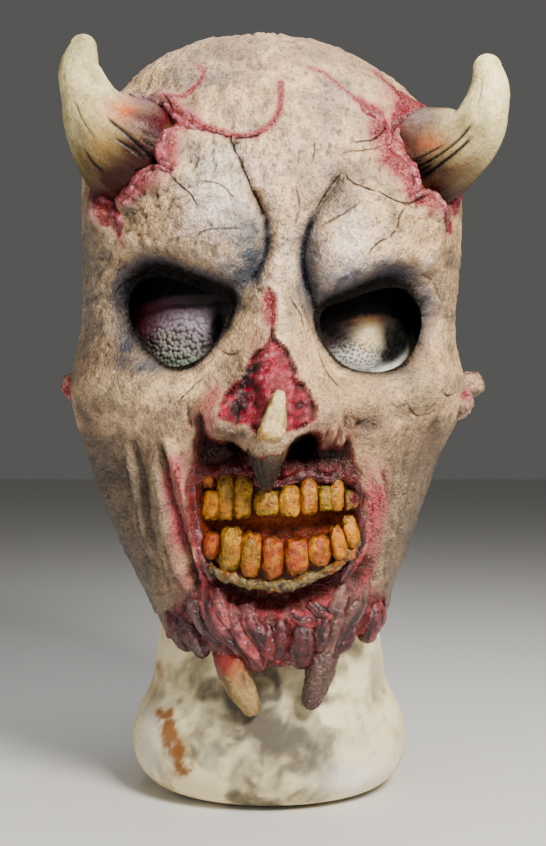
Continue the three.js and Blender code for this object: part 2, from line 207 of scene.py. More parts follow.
def cell_distances(points: Array, size: float, seed: int) -> tuple[Array, Array]:
    """Cellular noise: distances to the nearest and the second nearest of scattered points.

    Args:
        points: coordinates in the last axis.
        size: the mean spacing of the scattered points.
        seed: chooses where they lie.

    Returns:
        Both distances, as shares of the spacing.
    """
    scaled = points / size
    cell = np.floor(scaled).astype(np.int64)
    nearest = np.full(points.shape[:-1], np.inf)
    second = nearest.copy()
    for step in itertools.product((-1, 0, 1), repeat=points.shape[-1]):
        there = cell + np.array(step)
        jitter = np.stack([lattice(there, seed + 31 * axis) for axis in range(points.shape[-1])], axis=-1)
        distance = np.linalg.norm(there + jitter - scaled, axis=-1)
        second = np.minimum(second, np.maximum(nearest, distance))
        nearest = np.minimum(nearest, distance)
    return nearest, second


def path_measure(path: Array, places: Array) -> tuple[Array, Array, Array]:
    """Measures places against a path of short straight stretches.

    Args:
        path: the path's points, one per row.
        places: front-view places in the last axis.

    Returns:
        The signed distance (positive on the path's left side), the distance from the path's start along it,
        and the distance to its nearer end along it.
    """
    nearest = np.full(places.shape[:-1], np.inf)
    side = np.ones(places.shape[:-1])
    along = np.zeros(places.shape[:-1])
    start = 0.0
    for (ax, az), (bx, bz) in zip(path[:-1], path[1:]):
        dx, dz = bx - ax, bz - az
        length = float(np.hypot(dx, dz)) or 1e-9
        px, pz = places[..., 0] - ax, places[..., 1] - az
        t = np.clip((px * dx + pz * dz) / length ** 2, 0, 1)
        distance = np.hypot(px - t * dx, pz - t * dz)
        closer = distance < nearest
        nearest = np.where(closer, distance, nearest)
        side = np.where(closer, np.where(dx * pz - dz * px >= 0, 1.0, -1.0), side)
        along = np.where(closer, start + t * length, along)
        start += length
    return side * nearest, along, np.minimum(along, start - along)


def inside_distance(outline: Array, places: Array) -> Array:
    """Distance to a closed outline: positive inside it and negative outside, by the even-odd rule."""
    ring = np.concatenate([outline, outline[:1]])
    distance = np.abs(path_measure(ring, places)[0])
    inside = np.zeros(places.shape[:-1], bool)
    x, z = places[..., 0], places[..., 1]
    for (ax, az), (bx, bz) in zip(ring[:-1], ring[1:]):
        if az == bz:
            continue
        crosses = (az > z) != (bz > z)
        inside ^= crosses & (x < (bx - ax) * (z - az) / (bz - az) + ax)
    return np.where(inside, distance, -distance)


@dataclass(frozen=True)
class Mound:
    """A soft hump or hollow in front view: its middle, half sizes and height."""

    x: float
    z: float
    wide: float
    tall: float
    high: float

    def relief(self, x: Array, z: Array) -> Array:
        """Its height there: a Gaussian of the distance over its half sizes."""
        return self.high * np.exp(-((x - self.x) / self.wide) ** 2 - ((z - self.z) / self.tall) ** 2)


@dataclass(frozen=True)
class Line:
    """A carved or painted line in front view."""

    path: Points
    wide: float
    high: float = 1.0
    taper: float = 5.0

    def profile(self, places: Array, start: float, full: float) -> Array:
        """Its height at front-view places: a Gaussian across it that tapers at both ends.

        Args:
            places: the places.
            start: where it rises from nothing, as a distance from its end along it.
            full: where it has its full height.

        Returns:
            The heights.
        """
        distance, _, to_end = path_measure(smooth_path(self.path), places)
        return self.high * bell(distance / self.wide) * smooth_step(to_end, start, full)


@dataclass(frozen=True)
class Spray:
    """One airbrushed soft oval in front view, also used for painted highlights and shade: its colour, size
    and cover.
    """

    colour: str
    x: float
    z: float
    wide: float
    tall: float
    cover: float

    def layer(self, x: Array, z: Array, share: Values = 1.0, depth: float = 1.0) -> tuple[Array, Array]:
        """Its colour, deepened by a power, and its cover there times a share."""
        soft = Mound(self.x, self.z, self.wide, self.tall, self.cover).relief(x, z)
        return linear(self.colour) ** depth, soft * share


class FrontMap:
    """Maps of the face in front view, with a value for each cell."""

    cell = 0.5
    low = (-116.0, 40.0)
    high = (116.0, 398.0)

    def __init__(self) -> None:
        """Sets out the cells."""
        x = np.arange(self.low[0], self.high[0], self.cell)
        z = np.arange(self.low[1], self.high[1], self.cell)
        self.x, self.z = np.meshgrid(x, z)
        self.places = np.stack([self.x, self.z], axis=-1)

    def window(self, points: Array, reach: float) -> tuple[slice, slice]:
        """The block of cells that lies within reach of points."""
        slices = []
        for axis in (1, 0):
            first = int((points[:, axis].min() - reach - self.low[axis]) / self.cell)
            last = int((points[:, axis].max() + reach - self.low[axis]) / self.cell) + 2
            slices.append(slice(max(first, 0), max(last, 1)))
        return slices[0], slices[1]

    def line(self, line: Line) -> tuple[tuple[slice, slice], Array]:
        """A line's profile where it counts.

        Args:
            line: the line.

        Returns:
            The block of cells it reaches, and its height in them.
        """
        block = self.window(smooth_path(line.path), 3 * line.wide)
        return block, line.profile(self.places[block], -0.3 * line.taper, line.taper)

    def add_lines(self, values: Array, lines: Sequence[Line]) -> None:
        """Adds lines to a map, one after another."""
        for line in lines:
            block, profile = self.line(line)
            values[block] += profile

    def cover_lines(self, values: Array, lines: Sequence[Line]) -> None:
        """Lays lines on a map, which takes the higher value in each cell."""
        for line in lines:
            block, profile = self.line(line)
            values[block] = np.maximum(values[block], profile)

    def inside(self, outline: Points, reach: float = 30.0) -> Array:
        """A whole map of the distance inside a smoothed closed outline, negative outside it."""
        ring = smooth_path(outline, closed=True, steps=6)
        values = np.full(self.x.shape, -reach)
        block = self.window(ring, reach)
        values[block] = inside_distance(ring, self.places[block])
        return values

    def blurred(self, values: Array, radius: float) -> Array:
        """A map softened by a Gaussian of a radius in millimetres, through its Fourier transform."""
        rows, columns = values.shape
        fz = np.fft.fftfreq(rows, self.cell)[:, None]
        fx = np.fft.rfftfreq(columns, self.cell)[None, :]
        keep = np.exp(-(np.pi * radius) ** 2 * (fx ** 2 + fz ** 2))
        return np.fft.irfft2(np.fft.rfft2(values) * keep, s=values.shape)

    def lowest(self, values: Array, reach: float) -> Array:
        """A map of the lowest value within reach of each cell, tried at 25 places."""
        step = int(reach / 2 / self.cell)
        shifts = itertools.product((-2 * step, -step, 0, step, 2 * step), repeat=2)
        return np.minimum.reduce([np.roll(values, shift, axis=(0, 1)) for shift in shifts])

    def sample(self, values: Array, x: Array, z: Array) -> Array:
        """Reads a map between its cells, by the four nearest ones.

        Args:
            values: the map, with any further axes after the first two.
            x: places from left to right.
            z: places upwards.

        Returns:
            A value for each place.
        """
        column = np.clip((x - self.low[0]) / self.cell, 0, values.shape[1] - 1.001)
        row = np.clip((z - self.low[1]) / self.cell, 0, values.shape[0] - 1.001)
        i, j = row.astype(int), column.astype(int)
        extra = (...,) + (None,) * (values.ndim - 2)
        down, right = (row - i)[extra], (column - j)[extra]
        upper = lerp(values[i, j], values[i, j + 1], right)
        lower = lerp(values[i + 1, j], values[i + 1, j + 1], right)
        return lerp(upper, lower, down)


@dataclass(frozen=True)
class SkullForm:
    """The mask's plain form: an oval, leaning dome on a tapering oval tube, as in the CAD model."""

    dome_z: float = 300.0
    rise: float = 92.0
    lean: float = -6.5
    power: float = 2.3
    inset: float = 0.0
    face_inset: float = 0.0
    left: KnotCurve = KnotCurve((
        (40, 54), (88, 59.5), (104, 66), (131, 79.5), (148, 87.5), (174, 95.5), (192, 101), (208, 103),
        (222, 101.5), (240, 98), (270, 97.5), (300, 98)))
    right: KnotCurve = KnotCurve((
        (40, 55), (88, 61), (104, 64.5), (118, 69.5), (131, 74.5), (155, 83), (174, 89.5), (192, 98.5),
        (208, 101), (222, 99), (240, 97), (270, 99.5), (300, 101)))
    front: KnotCurve = KnotCurve((
        (40, 72), (88, 81), (110, 86), (131, 91), (160, 95), (192, 97), (250, 97), (270, 99), (300, 99)))
    back: KnotCurve = KnotCurve((
        (40, 60), (88, 66), (110, 74), (150, 89), (192, 100), (240, 108), (270, 108), (300, 106)))

    def point(self, angle: Array, z: Array) -> Array:
        """The plain surface's points: a superellipse in plan, with its own reach on each of four sides.

        Args:
            angle: the direction from the face's middle, positive to the right.
            z: the height.

        Returns:
            Points with x, y and z in the last axis.
        """
        reach_x = np.where(angle < 0, self.left(z), self.right(z)) - self.inset
        reach_y = np.where(np.cos(angle) > 0, self.front(z) - self.face_inset, self.back(z) - self.inset)
        up = np.clip((z - self.dome_z) / self.rise, 0, 1)
        girth = np.sqrt(1 - up ** 2)
        radius = girth * (np.abs(np.sin(angle) / reach_x) ** self.power
                          + np.abs(np.cos(angle) / reach_y) ** self.power) ** (-1 / self.power)
        return np.stack([radius * np.sin(angle) + self.lean * up, -radius * np.cos(angle), z], axis=-1)

    def front_y(self, x: Array, z: Array) -> Array:
        """How far forward (towards negative y) the plain front lies at a front-view place."""
        up = np.clip((z - self.dome_z) / self.rise, 0, 0.999)
        girth = np.sqrt(1 - up ** 2)
        across = x - self.lean * up
        reach = np.where(across < 0, self.left(z), self.right(z)) * girth
        share = np.clip(np.abs(across) / reach, 0, 0.999)
        return -self.front(z) * girth * (1 - share ** self.power) ** (1 / self.power)

    def dome_heights(self, rows: int) -> Array:
        """Heights of rows over the dome, at even angles from just under its crown to its foot."""
        return self.dome_z + self.rise * np.sin(np.linspace(np.pi / 2, 0, rows + 1)[1:])

    def crown(self) -> list[float]:
        """The dome's highest point."""
        return [self.lean, 0, self.dome_z + self.rise]


SKULL = SkullForm()


class Face:
    """The face's carving and paint, as maps in front view.

    The tables place each form, crease, crack, vein and pass of the airbrush one by one; some passes are
    painted highlights and painted shade. Heights are positive towards the viewer.
    """

    eyes = (
        ((-19, 247), (-33, 253), (-50, 259), (-63, 257), (-68, 245), (-64, 232), (-55, 222), (-45, 216),
         (-31, 221), (-22, 233)),
        ((25, 242), (40, 249), (55, 254), (66, 253.5), (74, 243), (72, 229), (63, 217.5), (49, 213.5),
         (35, 217), (26, 228)),
    )
    brows = (
        ((-3, 290), (-1.8, 273), (-2.7, 267.5), (-5.4, 262.5), (-9.1, 256.5), (-13.2, 252), (-18.7, 250),
            (-24.7, 251.6), (-33, 257.5), (-41, 261.4), (-48, 264), (-58, 264.5), (-70, 266), (-82, 275),
            (-84, 300), (-60, 318), (-30, 322), (-10, 306)),
        ((36, 304), (30, 293), (24.2, 284.5), (18.7, 275), (16.5, 265), (17, 256.7), (20.2, 248.6),
            (26.2, 244.6), (35, 247.5), (43.9, 251.4), (51.5, 255), (58.8, 258), (66, 259), (74, 257),
            (84, 268), (86, 296), (66, 312), (48, 312)))
    forms = each(Mound,
        (-40, 284, 22, 18, 2.5), (-17, 266, 11, 13, 4), (48, 281, 22, 18, 2), (29, 260, 11, 12, 4),
        (8, 290, 11, 26, 2), (-72, 207, 20, 14, 6), (74, 207, 20, 14, 6), (-23, 192, 10, 10, 12),
        (24, 194, 9.5, 10, 11), (-42, 190, 14, 10, 3), (42, 196, 12, 14, 3), (-45, 155, 10, 36, 4),
        (53, 152, 9, 36, 4), (-42, 352, 11, 9, 1.6), (20, 335, 30, 22, 1.2), (-12, 340, 22, 18, 1),
        (56, 345, 14, 12, 1.4), (62, 300, 12, 8, 1.5), (-20, 300, 14, 16, 1.5), (44, 184, 4.5, 4.5, 3),
        (5, 187, 13, 6, 4.5), (50, 205, 16, 9, 1.5), (-52, 205, 18, 9, 1.5), (-74, 165, 14, 26, -2.5),
        (72, 160, 10, 24, -1.5))
    nostrils = each(Mound, (-17.3, 178, 6, 5.5, -7), (15.7, 178.5, 7.5, 7, -12))
    collars = each(Line,
        (((-58, 347), (-48, 342), (-43, 336), (-38, 332.5), (-30, 329)), 3.6, 4, 8),
        (((-37, 325), (-42.5, 321), (-45.5, 316), (-44, 310), (-39, 305)), 4.6, 7.5, 7),
        (((-42, 302), (-50, 302), (-57.5, 301), (-62, 296), (-65, 289)), 4.6, 7, 7),
        (((-90, 294), (-82, 293.5), (-77, 289), (-74, 282)), 4.2, 6, 7),
        (((44, 333), (51, 327.5), (53.5, 322), (50, 317)), 3.6, 4, 7),
        (((51, 314), (57, 311), (62, 306.5), (64.5, 300), (62, 293)), 4.4, 6, 7),
        (((66, 290), (72, 293), (77, 291), (80.5, 286)), 4.2, 5, 7))
    spared = each(Mound, (31, 220, 12, 11, 0.9), (-25, 224, 9, 10, 0.75), (50, 211, 16, 5, 0.55))
    brow_soot_and_shade = each(Line,
        (((-3, 290), (-1.5, 283), (-0.8, 272), (-3, 264), (-7.5, 257), (-14, 252)), 1.6, 0.8, 10),
        (((24, 290), (18.5, 279), (16, 267), (17, 256), (21, 247), (25, 238), (28, 230)), 1.8, 0.85, 12),
        (((-14, 251), (-22, 250), (-32, 255)), 3, 0.9, 3), (((20, 247), (27, 243.5), (38, 247)), 2.2, 0.8, 3),
        (((13, 256), (14, 246), (19, 236), (23, 229)), 1.2, 0.6, 4))
    creases = each(Line,
        (((-20, 323), (-15, 314.5), (-12, 307), (-7.8, 297.6), (-4.5, 291)), 1.5, -1.8),
        (((-7.8, 299), (-4.5, 291), (-1.5, 283), (-0.5, 274), (-2.5, 265), (-6.5, 258), (-12, 252.5)), 2.7,
            -4.2),
        (((35, 306), (30, 298), (24, 289), (18.5, 279.5), (15.5, 268), (16.5, 257), (20, 248.5)), 2.4, -4.4),
        (((20, 249), (23, 238), (27, 229)), 2, -1.6), (((13, 230), (16.5, 223.7), (19.2, 218.3)), 1.2, -1.6),
        (((-33, 186), (-36, 193), (-38, 200)), 1.6, -2.4), (((-31, 190), (-30, 181), (-25, 177)), 2, -3.6),
        (((33.5, 197), (34.5, 188), (31, 181)), 1.8, -3.2), (((36, 196), (40, 190), (47, 186)), 1.5, -2),
        (((-84, 262), (-79, 268), (-74, 274)), 1.4, -1.4), (((-36, 273), (-28, 279), (-18, 280)), 1.2, -1.3),
        (((-32, 262), (-25, 258), (-17, 260)), 1.2, -1.2))
    hollows = each(Mound,
        (-9.5, 206, 3.2, 7, -3.2), (-15, 196, 4, 4.5, -3.4), (13, 196, 2.4, 9, -2.4), (3, 202, 2, 4, -1.8),
        (-3, 193, 3, 3, -1.6))
    rims = each(Line,
        (((4, 181), (8, 181.5), (13, 183.5), (18.5, 188)), 1.6, 2.6, 4),
        (((-7, 183), (-14, 183.5), (-21, 188)), 2.2, 1.6, 4),
        (((22.5, 186), (23, 180), (24.5, 173)), 1.8, 3, 4),
        (((28, 189), (28.5, 182), (30.5, 175)), 1.8, 3.2, 4),
        (((33.5, 190), (33.5, 184), (34, 178)), 1.4, 2.4, 4),
        (((-28, 190), (-26, 183), (-27, 176)), 2, 2.4, 4), (((25.5, 188), (26, 181), (28, 174)), 0.9, -2, 4),
        (((31, 190), (31.5, 184), (33, 177)), 0.9, -2, 4),
        (((38.5, 184), (41, 189.5), (46, 190), (49.5, 186)), 1, -1.8, 3))
    sinews = each(Line,
        (((-52, 182), (-48.5, 174.6), (-45.3, 158), (-41.8, 146.6), (-40, 137.5), (-35.6, 124), (-34.5, 110)),
            1.5, -3.6, 8),
        (((-67, 184), (-61.5, 166), (-59, 151.6), (-56.5, 137), (-53, 122), (-48, 108)), 1.8, -2.8, 9),
        (((-76, 176), (-69, 157), (-64, 142.4), (-59.5, 129), (-54, 112)), 1.8, -2.8, 9),
        (((-81.4, 178), (-76.7, 162), (-72, 148), (-67.5, 135.4), (-60.4, 115)), 2.6, -3.6, 12),
        (((-48.5, 133), (-45.7, 119.5), (-39, 107)), 1.2, -1.8, 6),
        (((-54, 168), (-51, 156), (-49, 146)), 1, -1, 5),
        (((-71, 178), (-69, 168), (-66, 160)), 1.2, -1.2, 5),
        (((-48, 183), (-42.4, 171), (-38.2, 158), (-36, 146.6), (-34, 133), (-33, 118)), 2.2, 2.8, 8),
        (((-56, 176), (-51.5, 158), (-47.5, 143), (-43, 126), (-38.5, 109)), 3, 2.4, 12),
        (((-70, 178), (-65.5, 163), (-61.8, 150), (-58.5, 136), (-53, 118)), 2.2, 2.2, 10),
        (((-76.5, 172), (-72, 157), (-68, 144), (-62.5, 122)), 2.4, 1.8, 12),
        (((51.6, 169), (54, 155), (54.6, 141.5), (53.4, 131.7), (50.4, 119.5), (46.6, 103)), 1.5, -3.4, 8),
        (((58.5, 169), (58, 158), (57, 148), (56.3, 136), (56.6, 123), (56, 112)), 1.3, -1.7, 10),
        (((68, 180), (65.6, 157.5), (63, 145), (61.8, 130), (59.3, 116)), 2.2, -2.2, 12),
        (((66.7, 142), (63.5, 127)), 1.4, -1.8, 5), (((73, 172), (71, 156), (67, 144)), 1.6, -1, 8),
        (((48, 168), (50.8, 155), (51.4, 141.5), (49, 129), (44.3, 116), (38.2, 101)), 2.2, 2.8, 8),
        (((44.3, 162), (46.3, 141.5), (44, 130), (36, 116)), 1.5, 1.8, 6),
        (((62, 172), (61.5, 156), (60, 142), (58.5, 124)), 2.2, 1.2, 12))
    strands = each(Line,
        (((-46, 181), (-41.5, 170), (-38, 158), (-36, 146), (-34, 133), (-33, 118)), 2.2, 0.5, 14),
        (((-50, 170), (-46.5, 158), (-43.5, 146), (-42, 136), (-37, 124)), 1.6, 0.3, 14),
        (((46.5, 166), (49, 155), (49.5, 142), (47, 129), (42, 116), (37, 104)), 1.8, 0.25, 14),
        (((44.3, 163), (46, 142), (43.5, 130), (36, 117)), 2, 0.6, 8),
        (((57, 172), (56.8, 160), (55.6, 148)), 1.6, 0.3, 8))
    spray_depth = 1.3
    gape_z = 141.0
    mouth = (
        (-34.5, 182), (-37.5, 167), (-38, 153), (-36, 139), (-33.5, 127), (-31, 113), (-24, 104), (-9, 99),
        (10, 98), (29, 104), (39, 113), (43.5, 131), (44.5, 150), (42, 167), (39.5, 178), (36, 185),
        (33, 179), (29.5, 184), (26.5, 178), (24, 184), (21, 187), (16, 185.5), (10, 181), (6, 177),
        (-8, 176.5), (-13, 180), (-20, 181), (-25, 184), (-28, 193), (-31.5, 192))
    jaw_flesh = (
        (-36, 128), (-39, 108), (-46, 100), (-52, 92), (-44, 70), (-20, 60), (10, 60), (40, 68), (58, 84),
        (56, 104), (47, 112), (46, 128), (20, 118), (0, 112), (-20, 116))
    wound = (
        (1.4, 232), (-3.1, 226), (-8.5, 220.5), (-10.4, 215), (-15.5, 207.5), (-21.5, 201.5), (-22, 194),
        (-16.6, 188.5), (-9.4, 188), (-3.1, 186), (6.8, 186), (14, 187.5), (19.4, 191.7), (18.9, 199),
        (15.3, 205.2), (12.2, 213.3), (7.7, 222.3), (3.2, 229))
    clots = each(Mound,
        (-9, 207, 4.5, 9, 1), (-13.5, 197, 5.5, 6, 1), (-5, 215, 3, 5, 0.9), (16, 196, 3, 7, 0.7),
        (-5, 199, 4, 3, 0.7), (9, 215, 1.5, 6, 0.6))
    slit = Line(((-0.4, 251.5), (0.9, 246), (1, 238.4), (1.4, 231)), 1.9, -2.2, 4)
    cracks = each(Line,
        (((-19.4, 322.8), (-15.2, 314.5), (-12, 306.9), (-7.8, 297.6), (-5, 292.1), (-2, 285)), 0.8),
        (((-43.2, 304.3), (-41.3, 301), (-36.6, 296.5), (-31.9, 291.2), (-31, 287)), 0.7),
        (((-31.9, 300.5), (-25.4, 299.8), (-19.8, 296.9), (-14.3, 290.3)), 0.4),
        (((-33.8, 273.2), (-27.2, 277.7), (-15.2, 277.9), (-10.6, 278.3)), 0.4),
        (((34.7, 306.2), (38.5, 300.7), (45.6, 297.4), (50.9, 295.5), (56.7, 292.6), (61.7, 292.2),
                (66.7, 295.1), (70.8, 299.4)), 0.8),
        (((60.7, 290.7), (57.7, 286.6), (56.2, 280.9), (53.8, 277), (49.4, 273.9), (44.6, 270),
                (42.3, 266.2)), 0.6), (((34.7, 306.2), (30, 300.8), (26.3, 295.2), (21.7, 286.7)), 0.6),
        (((32, 313.6), (37.6, 315.4), (44.8, 316.9), (53.1, 318.6)), 0.4),
        (((22.6, 279.4), (28.2, 282.7), (35.2, 287.1), (42.3, 293)), 0.5),
        (((-49, 344), (-45, 337), (-42.8, 331), (-32, 326.5), (-17.1, 321.6), (-9.7, 321), (-3.2, 323.4)),
            0.7), (((50, 336.7), (52.5, 330.9), (51.2, 324), (44, 321), (37, 320)), 0.6),
        (((12, 300), (13.5, 290), (12.4, 281)), 0.3), (((20, 322), (21, 314), (19, 308)), 0.3),
        (((-63, 309), (-66, 300), (-62, 293)), 0.3), (((9, 247), (14, 240), (17, 231)), 0.4),
        (((-60, 262), (-70, 258), (-78, 249)), 0.3), (((70, 262), (80, 258), (86, 248)), 0.3),
        (((-24, 224), (-18, 221), (-12, 223)), 0.6), (((24, 222), (28, 212), (33, 205)), 0.4),
        (((-30, 212), (-38, 203), (-44, 197)), 0.3), (((78, 206), (84, 203), (90, 205)), 0.8),
        (((62, 199), (70, 193), (80, 196)), 0.5))
    veins = each(Line,
        (((-49.5, 344), (-42.8, 336.8), (-38.8, 331.2), (-32.1, 327.8), (-25, 325.4), (-17.1, 322.3),
                (-9.7, 321.7), (-3.2, 324.1), (1.4, 328.1), (4.6, 333.1), (5.6, 341.5), (5.6, 351.5)), 2, 1,
            2),
        (((-51, 343.7), (-43.1, 342.7), (-38.3, 344.4), (-33.6, 349), (-31.4, 354.1), (-32.7, 359.7),
                (-36.3, 363.3)), 1.7, 0.95, 3),
        (((15.7, 359.6), (23.4, 358.2), (29, 353.9), (34.6, 347.4), (40.2, 342.9), (45.9, 338.6),
                (51.7, 336.7)), 1.3, 0.95, 5),
        (((50, 366), (55.5, 358.5), (61.5, 352.5), (67, 348.5), (73, 346)), 2.4, 0.9, 6),
        (((75, 347.5), (69, 344.5), (64, 340.5), (61, 335), (59, 328)), 3.6, 1, 3),
        (((40, 343), (46, 338.6), (51.7, 336), (52.5, 330.9), (51.2, 325), (56.2, 324), (61.1, 321.2),
                (64.9, 315.2), (66.8, 308.5), (65.7, 302.5), (63, 297)), 3, 1, 3),
        (((63.7, 292.8), (68.8, 296.3), (75.1, 298.1), (80.6, 295.7), (85.2, 292.4), (89, 286.5),
                (87.8, 281.3)), 2.6, 0.95, 3),
        (((-47, 340), (-44, 333), (-41.6, 328), (-47.3, 325), (-49.6, 319.3), (-48.5, 313.3), (-44.2, 309.2),
                (-41, 305)), 2.8, 1, 2),
        (((-45, 307), (-51, 308), (-56.8, 307.9), (-61.8, 306)), 2.6, 0.95, 2),
        (((-88, 305.2), (-83.5, 302.2), (-77.7, 299), (-74.4, 294.6), (-72.2, 289.4), (-71.7, 282)), 2.8, 1,
            2), (((-70.6, 293), (-69.1, 285.2), (-67, 277.3), (-63.9, 270)), 0.9, 0.8, 4),
        (((-84, 300), (-84, 290), (-82, 280)), 1.2, 0.7, 4),
        (((-68, 262), (-66, 256), (-64, 252)), 0.7, 0.7, 3))
    lips = each(Line,
        (((-46, 339), (-43, 332), (-41, 328), (-46.3, 325), (-48.6, 319.3), (-47.5, 313.3), (-43.5, 308.5)),
            2.6, 2), (((-44, 305), (-51, 306), (-57, 305.5), (-63, 303)), 2.2, 2),
        (((-88, 303.2), (-83, 300.2), (-77.7, 297), (-74, 292), (-73, 286)), 2.4, 3),
        (((50.5, 333), (50, 325), (56, 322), (61, 319), (64, 313), (65.5, 307), (64, 300)), 2.4, 2),
        (((66, 295), (72, 297), (79, 295), (84, 291), (87, 285)), 2.2, 1.6),
        (((-66, 304), (-70, 297), (-71.5, 290)), 2.6, -4), (((-60, 309.5), (-52, 311), (-47, 312)), 2, -2.5),
        (((-46, 341), (-43, 335), (-39.5, 329)), 1.2, -1.5), (((54, 333), (54, 326), (60, 323)), 1.2, -2),
        (((68, 303), (75, 302), (82, 299)), 2, -2.5))
    # Painted highlights: the near-white passes on the brow lobes and the nose's bridge (fdf3e4, f2e9e2,
    # f0e6dd, dccdb8).
    # Partly painted shade: the grey-brown passes at the temples, under the cheekbones and down the lower
    # sides (8b8275, 86796a, 9d8a75, 64594d, 5b5148, 7d6d5c, 84715d, 655a4e, 4f473f, 5a5148, 4b443d).
    sprays = each(Spray,
        ("9c8a78", 0, 372, 70, 16, 0.35), ("d9cbb8", 15, 318, 34, 26, 0.5), ("a68f78", -20, 368, 16, 10, 0.4),
        ("87837e", -38, 352, 12, 8, 0.55), ("8d8a86", -22, 360, 8, 7, 0.4), ("9a9793", 38, 346, 12, 8, 0.3),
        ("fdf3e4", -20, 303, 16, 15, 0.75), ("f2e9e2", -26, 288, 14, 12, 0.65),
        ("b4b1b8", -12, 282, 9, 12, 0.6), ("a38d75", -52, 285, 17, 13, 0.65), ("57544d", -60, 291, 5, 8, 0.7),
        ("8f7d6b", -48, 270, 18, 5, 0.5), ("f0e6dd", 36, 273, 14, 13, 0.65), ("aca9ae", 27, 256, 10, 7, 0.6),
        ("87837f", 30, 296, 11, 11, 0.5), ("8b8781", 44, 306, 9, 6, 0.45), ("ab967d", 66, 280, 14, 14, 0.5),
        ("6d6862", 57, 262, 16, 4, 0.55), ("dccdb8", 8, 262, 8, 26, 0.5), ("cdb496", 10, 226, 26, 22, 0.35),
        ("b59b7c", 0, 200, 34, 12, 0.3), ("c6b294", -60, 205, 26, 9, 0.5), ("c6b294", 60, 207, 26, 9, 0.5),
        ("9d8a75", -50, 180, 26, 9, 0.45), ("9d8a75", 56, 184, 22, 9, 0.4),
        ("64594d", -84, 160, 12, 34, 0.65), ("5b5148", -72, 158, 5, 20, 0.5),
        ("7d6d5c", -62, 130, 20, 34, 0.55), ("84715d", 62, 130, 16, 34, 0.45),
        ("655a4e", 78, 176, 8, 16, 0.6), ("4f473f", 71, 197, 8, 6, 0.6), ("5a5148", -92, 196, 6, 8, 0.6),
        ("4b443d", 44, 190, 8, 7, 0.5), ("6d6156", -46, 194, 10, 4, 0.3), ("8b8275", 92, 260, 10, 50, 0.45),
        ("86796a", -94, 265, 9, 50, 0.45), ("5c4f47", -44, 100, 12, 12, 0.45))
    # Blue-grey bruising, and partly painted shade: the near-black ovals in the brows' inner creases (161b23,
    # 171c24, 14171d), the dark brown ones under the nose tip (2e2620, 3c3229, 3a3028, 3f3226), under the nubs
    # and cheekbones (262220, 2c2723, 3b332c, 3a332c) and at the temples (352e28, 7c766f).
    bruises_and_painted_shade = each(Spray,
        ("343b44", -9, 267, 7.5, 18, 0.95), ("161b23", -5, 262, 4, 13, 0.9), ("14171d", -15, 255, 9, 5, 0.9),
        ("353e4a", -27, 260, 10, 5, 0.8), ("343a43", 20, 263, 6, 18, 0.95), ("171c24", 18.5, 258, 3, 13, 0.9),
        ("33343f", 30, 250, 11, 4.5, 1), ("4b495c", 36, 257, 12, 5.5, 1.1), ("3d3c4a", 52, 262, 12, 5, 1),
        ("121317", 61, 260, 8, 4, 0.8), ("1c1c1c", -59, 289, 4, 9, 0.8), ("3a3733", -56, 297, 3.5, 5, 0.7),
        ("3a342e", -44, 268, 16, 4, 0.45), ("302e2c", 60, 283, 7, 4, 0.35), ("2e2d2e", 41, 305, 10, 6, 0.6),
        ("3e3b38", 30, 297, 7, 10, 0.62), ("48443f", -26, 353, 8, 7, 0.5), ("3c3a38", -13, 300, 3, 8, 0.4),
        ("262220", 78, 188, 8, 7, 0.7), ("352e28", 88, 270, 7, 30, 0.4), ("2e2620", -13, 184.5, 13, 4.5, 0.9),
        ("3c3229", -25, 189, 6, 8, 0.7), ("3a3028", 25, 188, 6, 8, 0.6), ("2b2019", -15, 205, 4, 9, 0.6),
        ("3f3226", -1, 176, 9, 5, 0.9), ("3c2f2a", -14, 216, 4, 7, 0.4), ("2c2723", 44, 189, 7, 6, 0.8),
        ("3b332c", -46, 194, 9, 4, 0.5), ("57504a", 24, 330, 14, 12, 0.3), ("4b4540", -34, 308, 5, 7, 0.3),
        ("3d3630", 10, 246, 3, 12, 0.35), ("6a443e", -43, 132, 4, 26, 0.6), ("6f4840", 50, 138, 4, 26, 0.55),
        ("4a403a", -30, 372, 14, 6, 0.35), ("4d4640", 40, 358, 10, 6, 0.3), ("3a332c", 62, 196, 12, 4, 0.4),
        ("363b42", -69, 228, 6, 13, 1.2), ("3f4348", -60, 216.5, 11, 5, 1.1), ("45494f", 77, 236, 4, 12, 0.7),
        ("59595a", 66, 213, 10, 4, 0.5), ("6b6a69", -72, 251, 5, 8, 0.5), ("7c766f", -89, 255, 13, 42, 0.8),
        ("3a444f", -14, 258, 9, 7, 0.8), ("444e59", -9.5, 271, 5.5, 12, 0.6),
        ("3d332b", -52, 143, 7, 22, 0.4), ("2a0b10", 65, 341, 5, 4, 0.8), ("2a0b10", 61.5, 331, 3, 7, 0.8),
        ("55504c", 16, 303, 7, 9, 0.35))
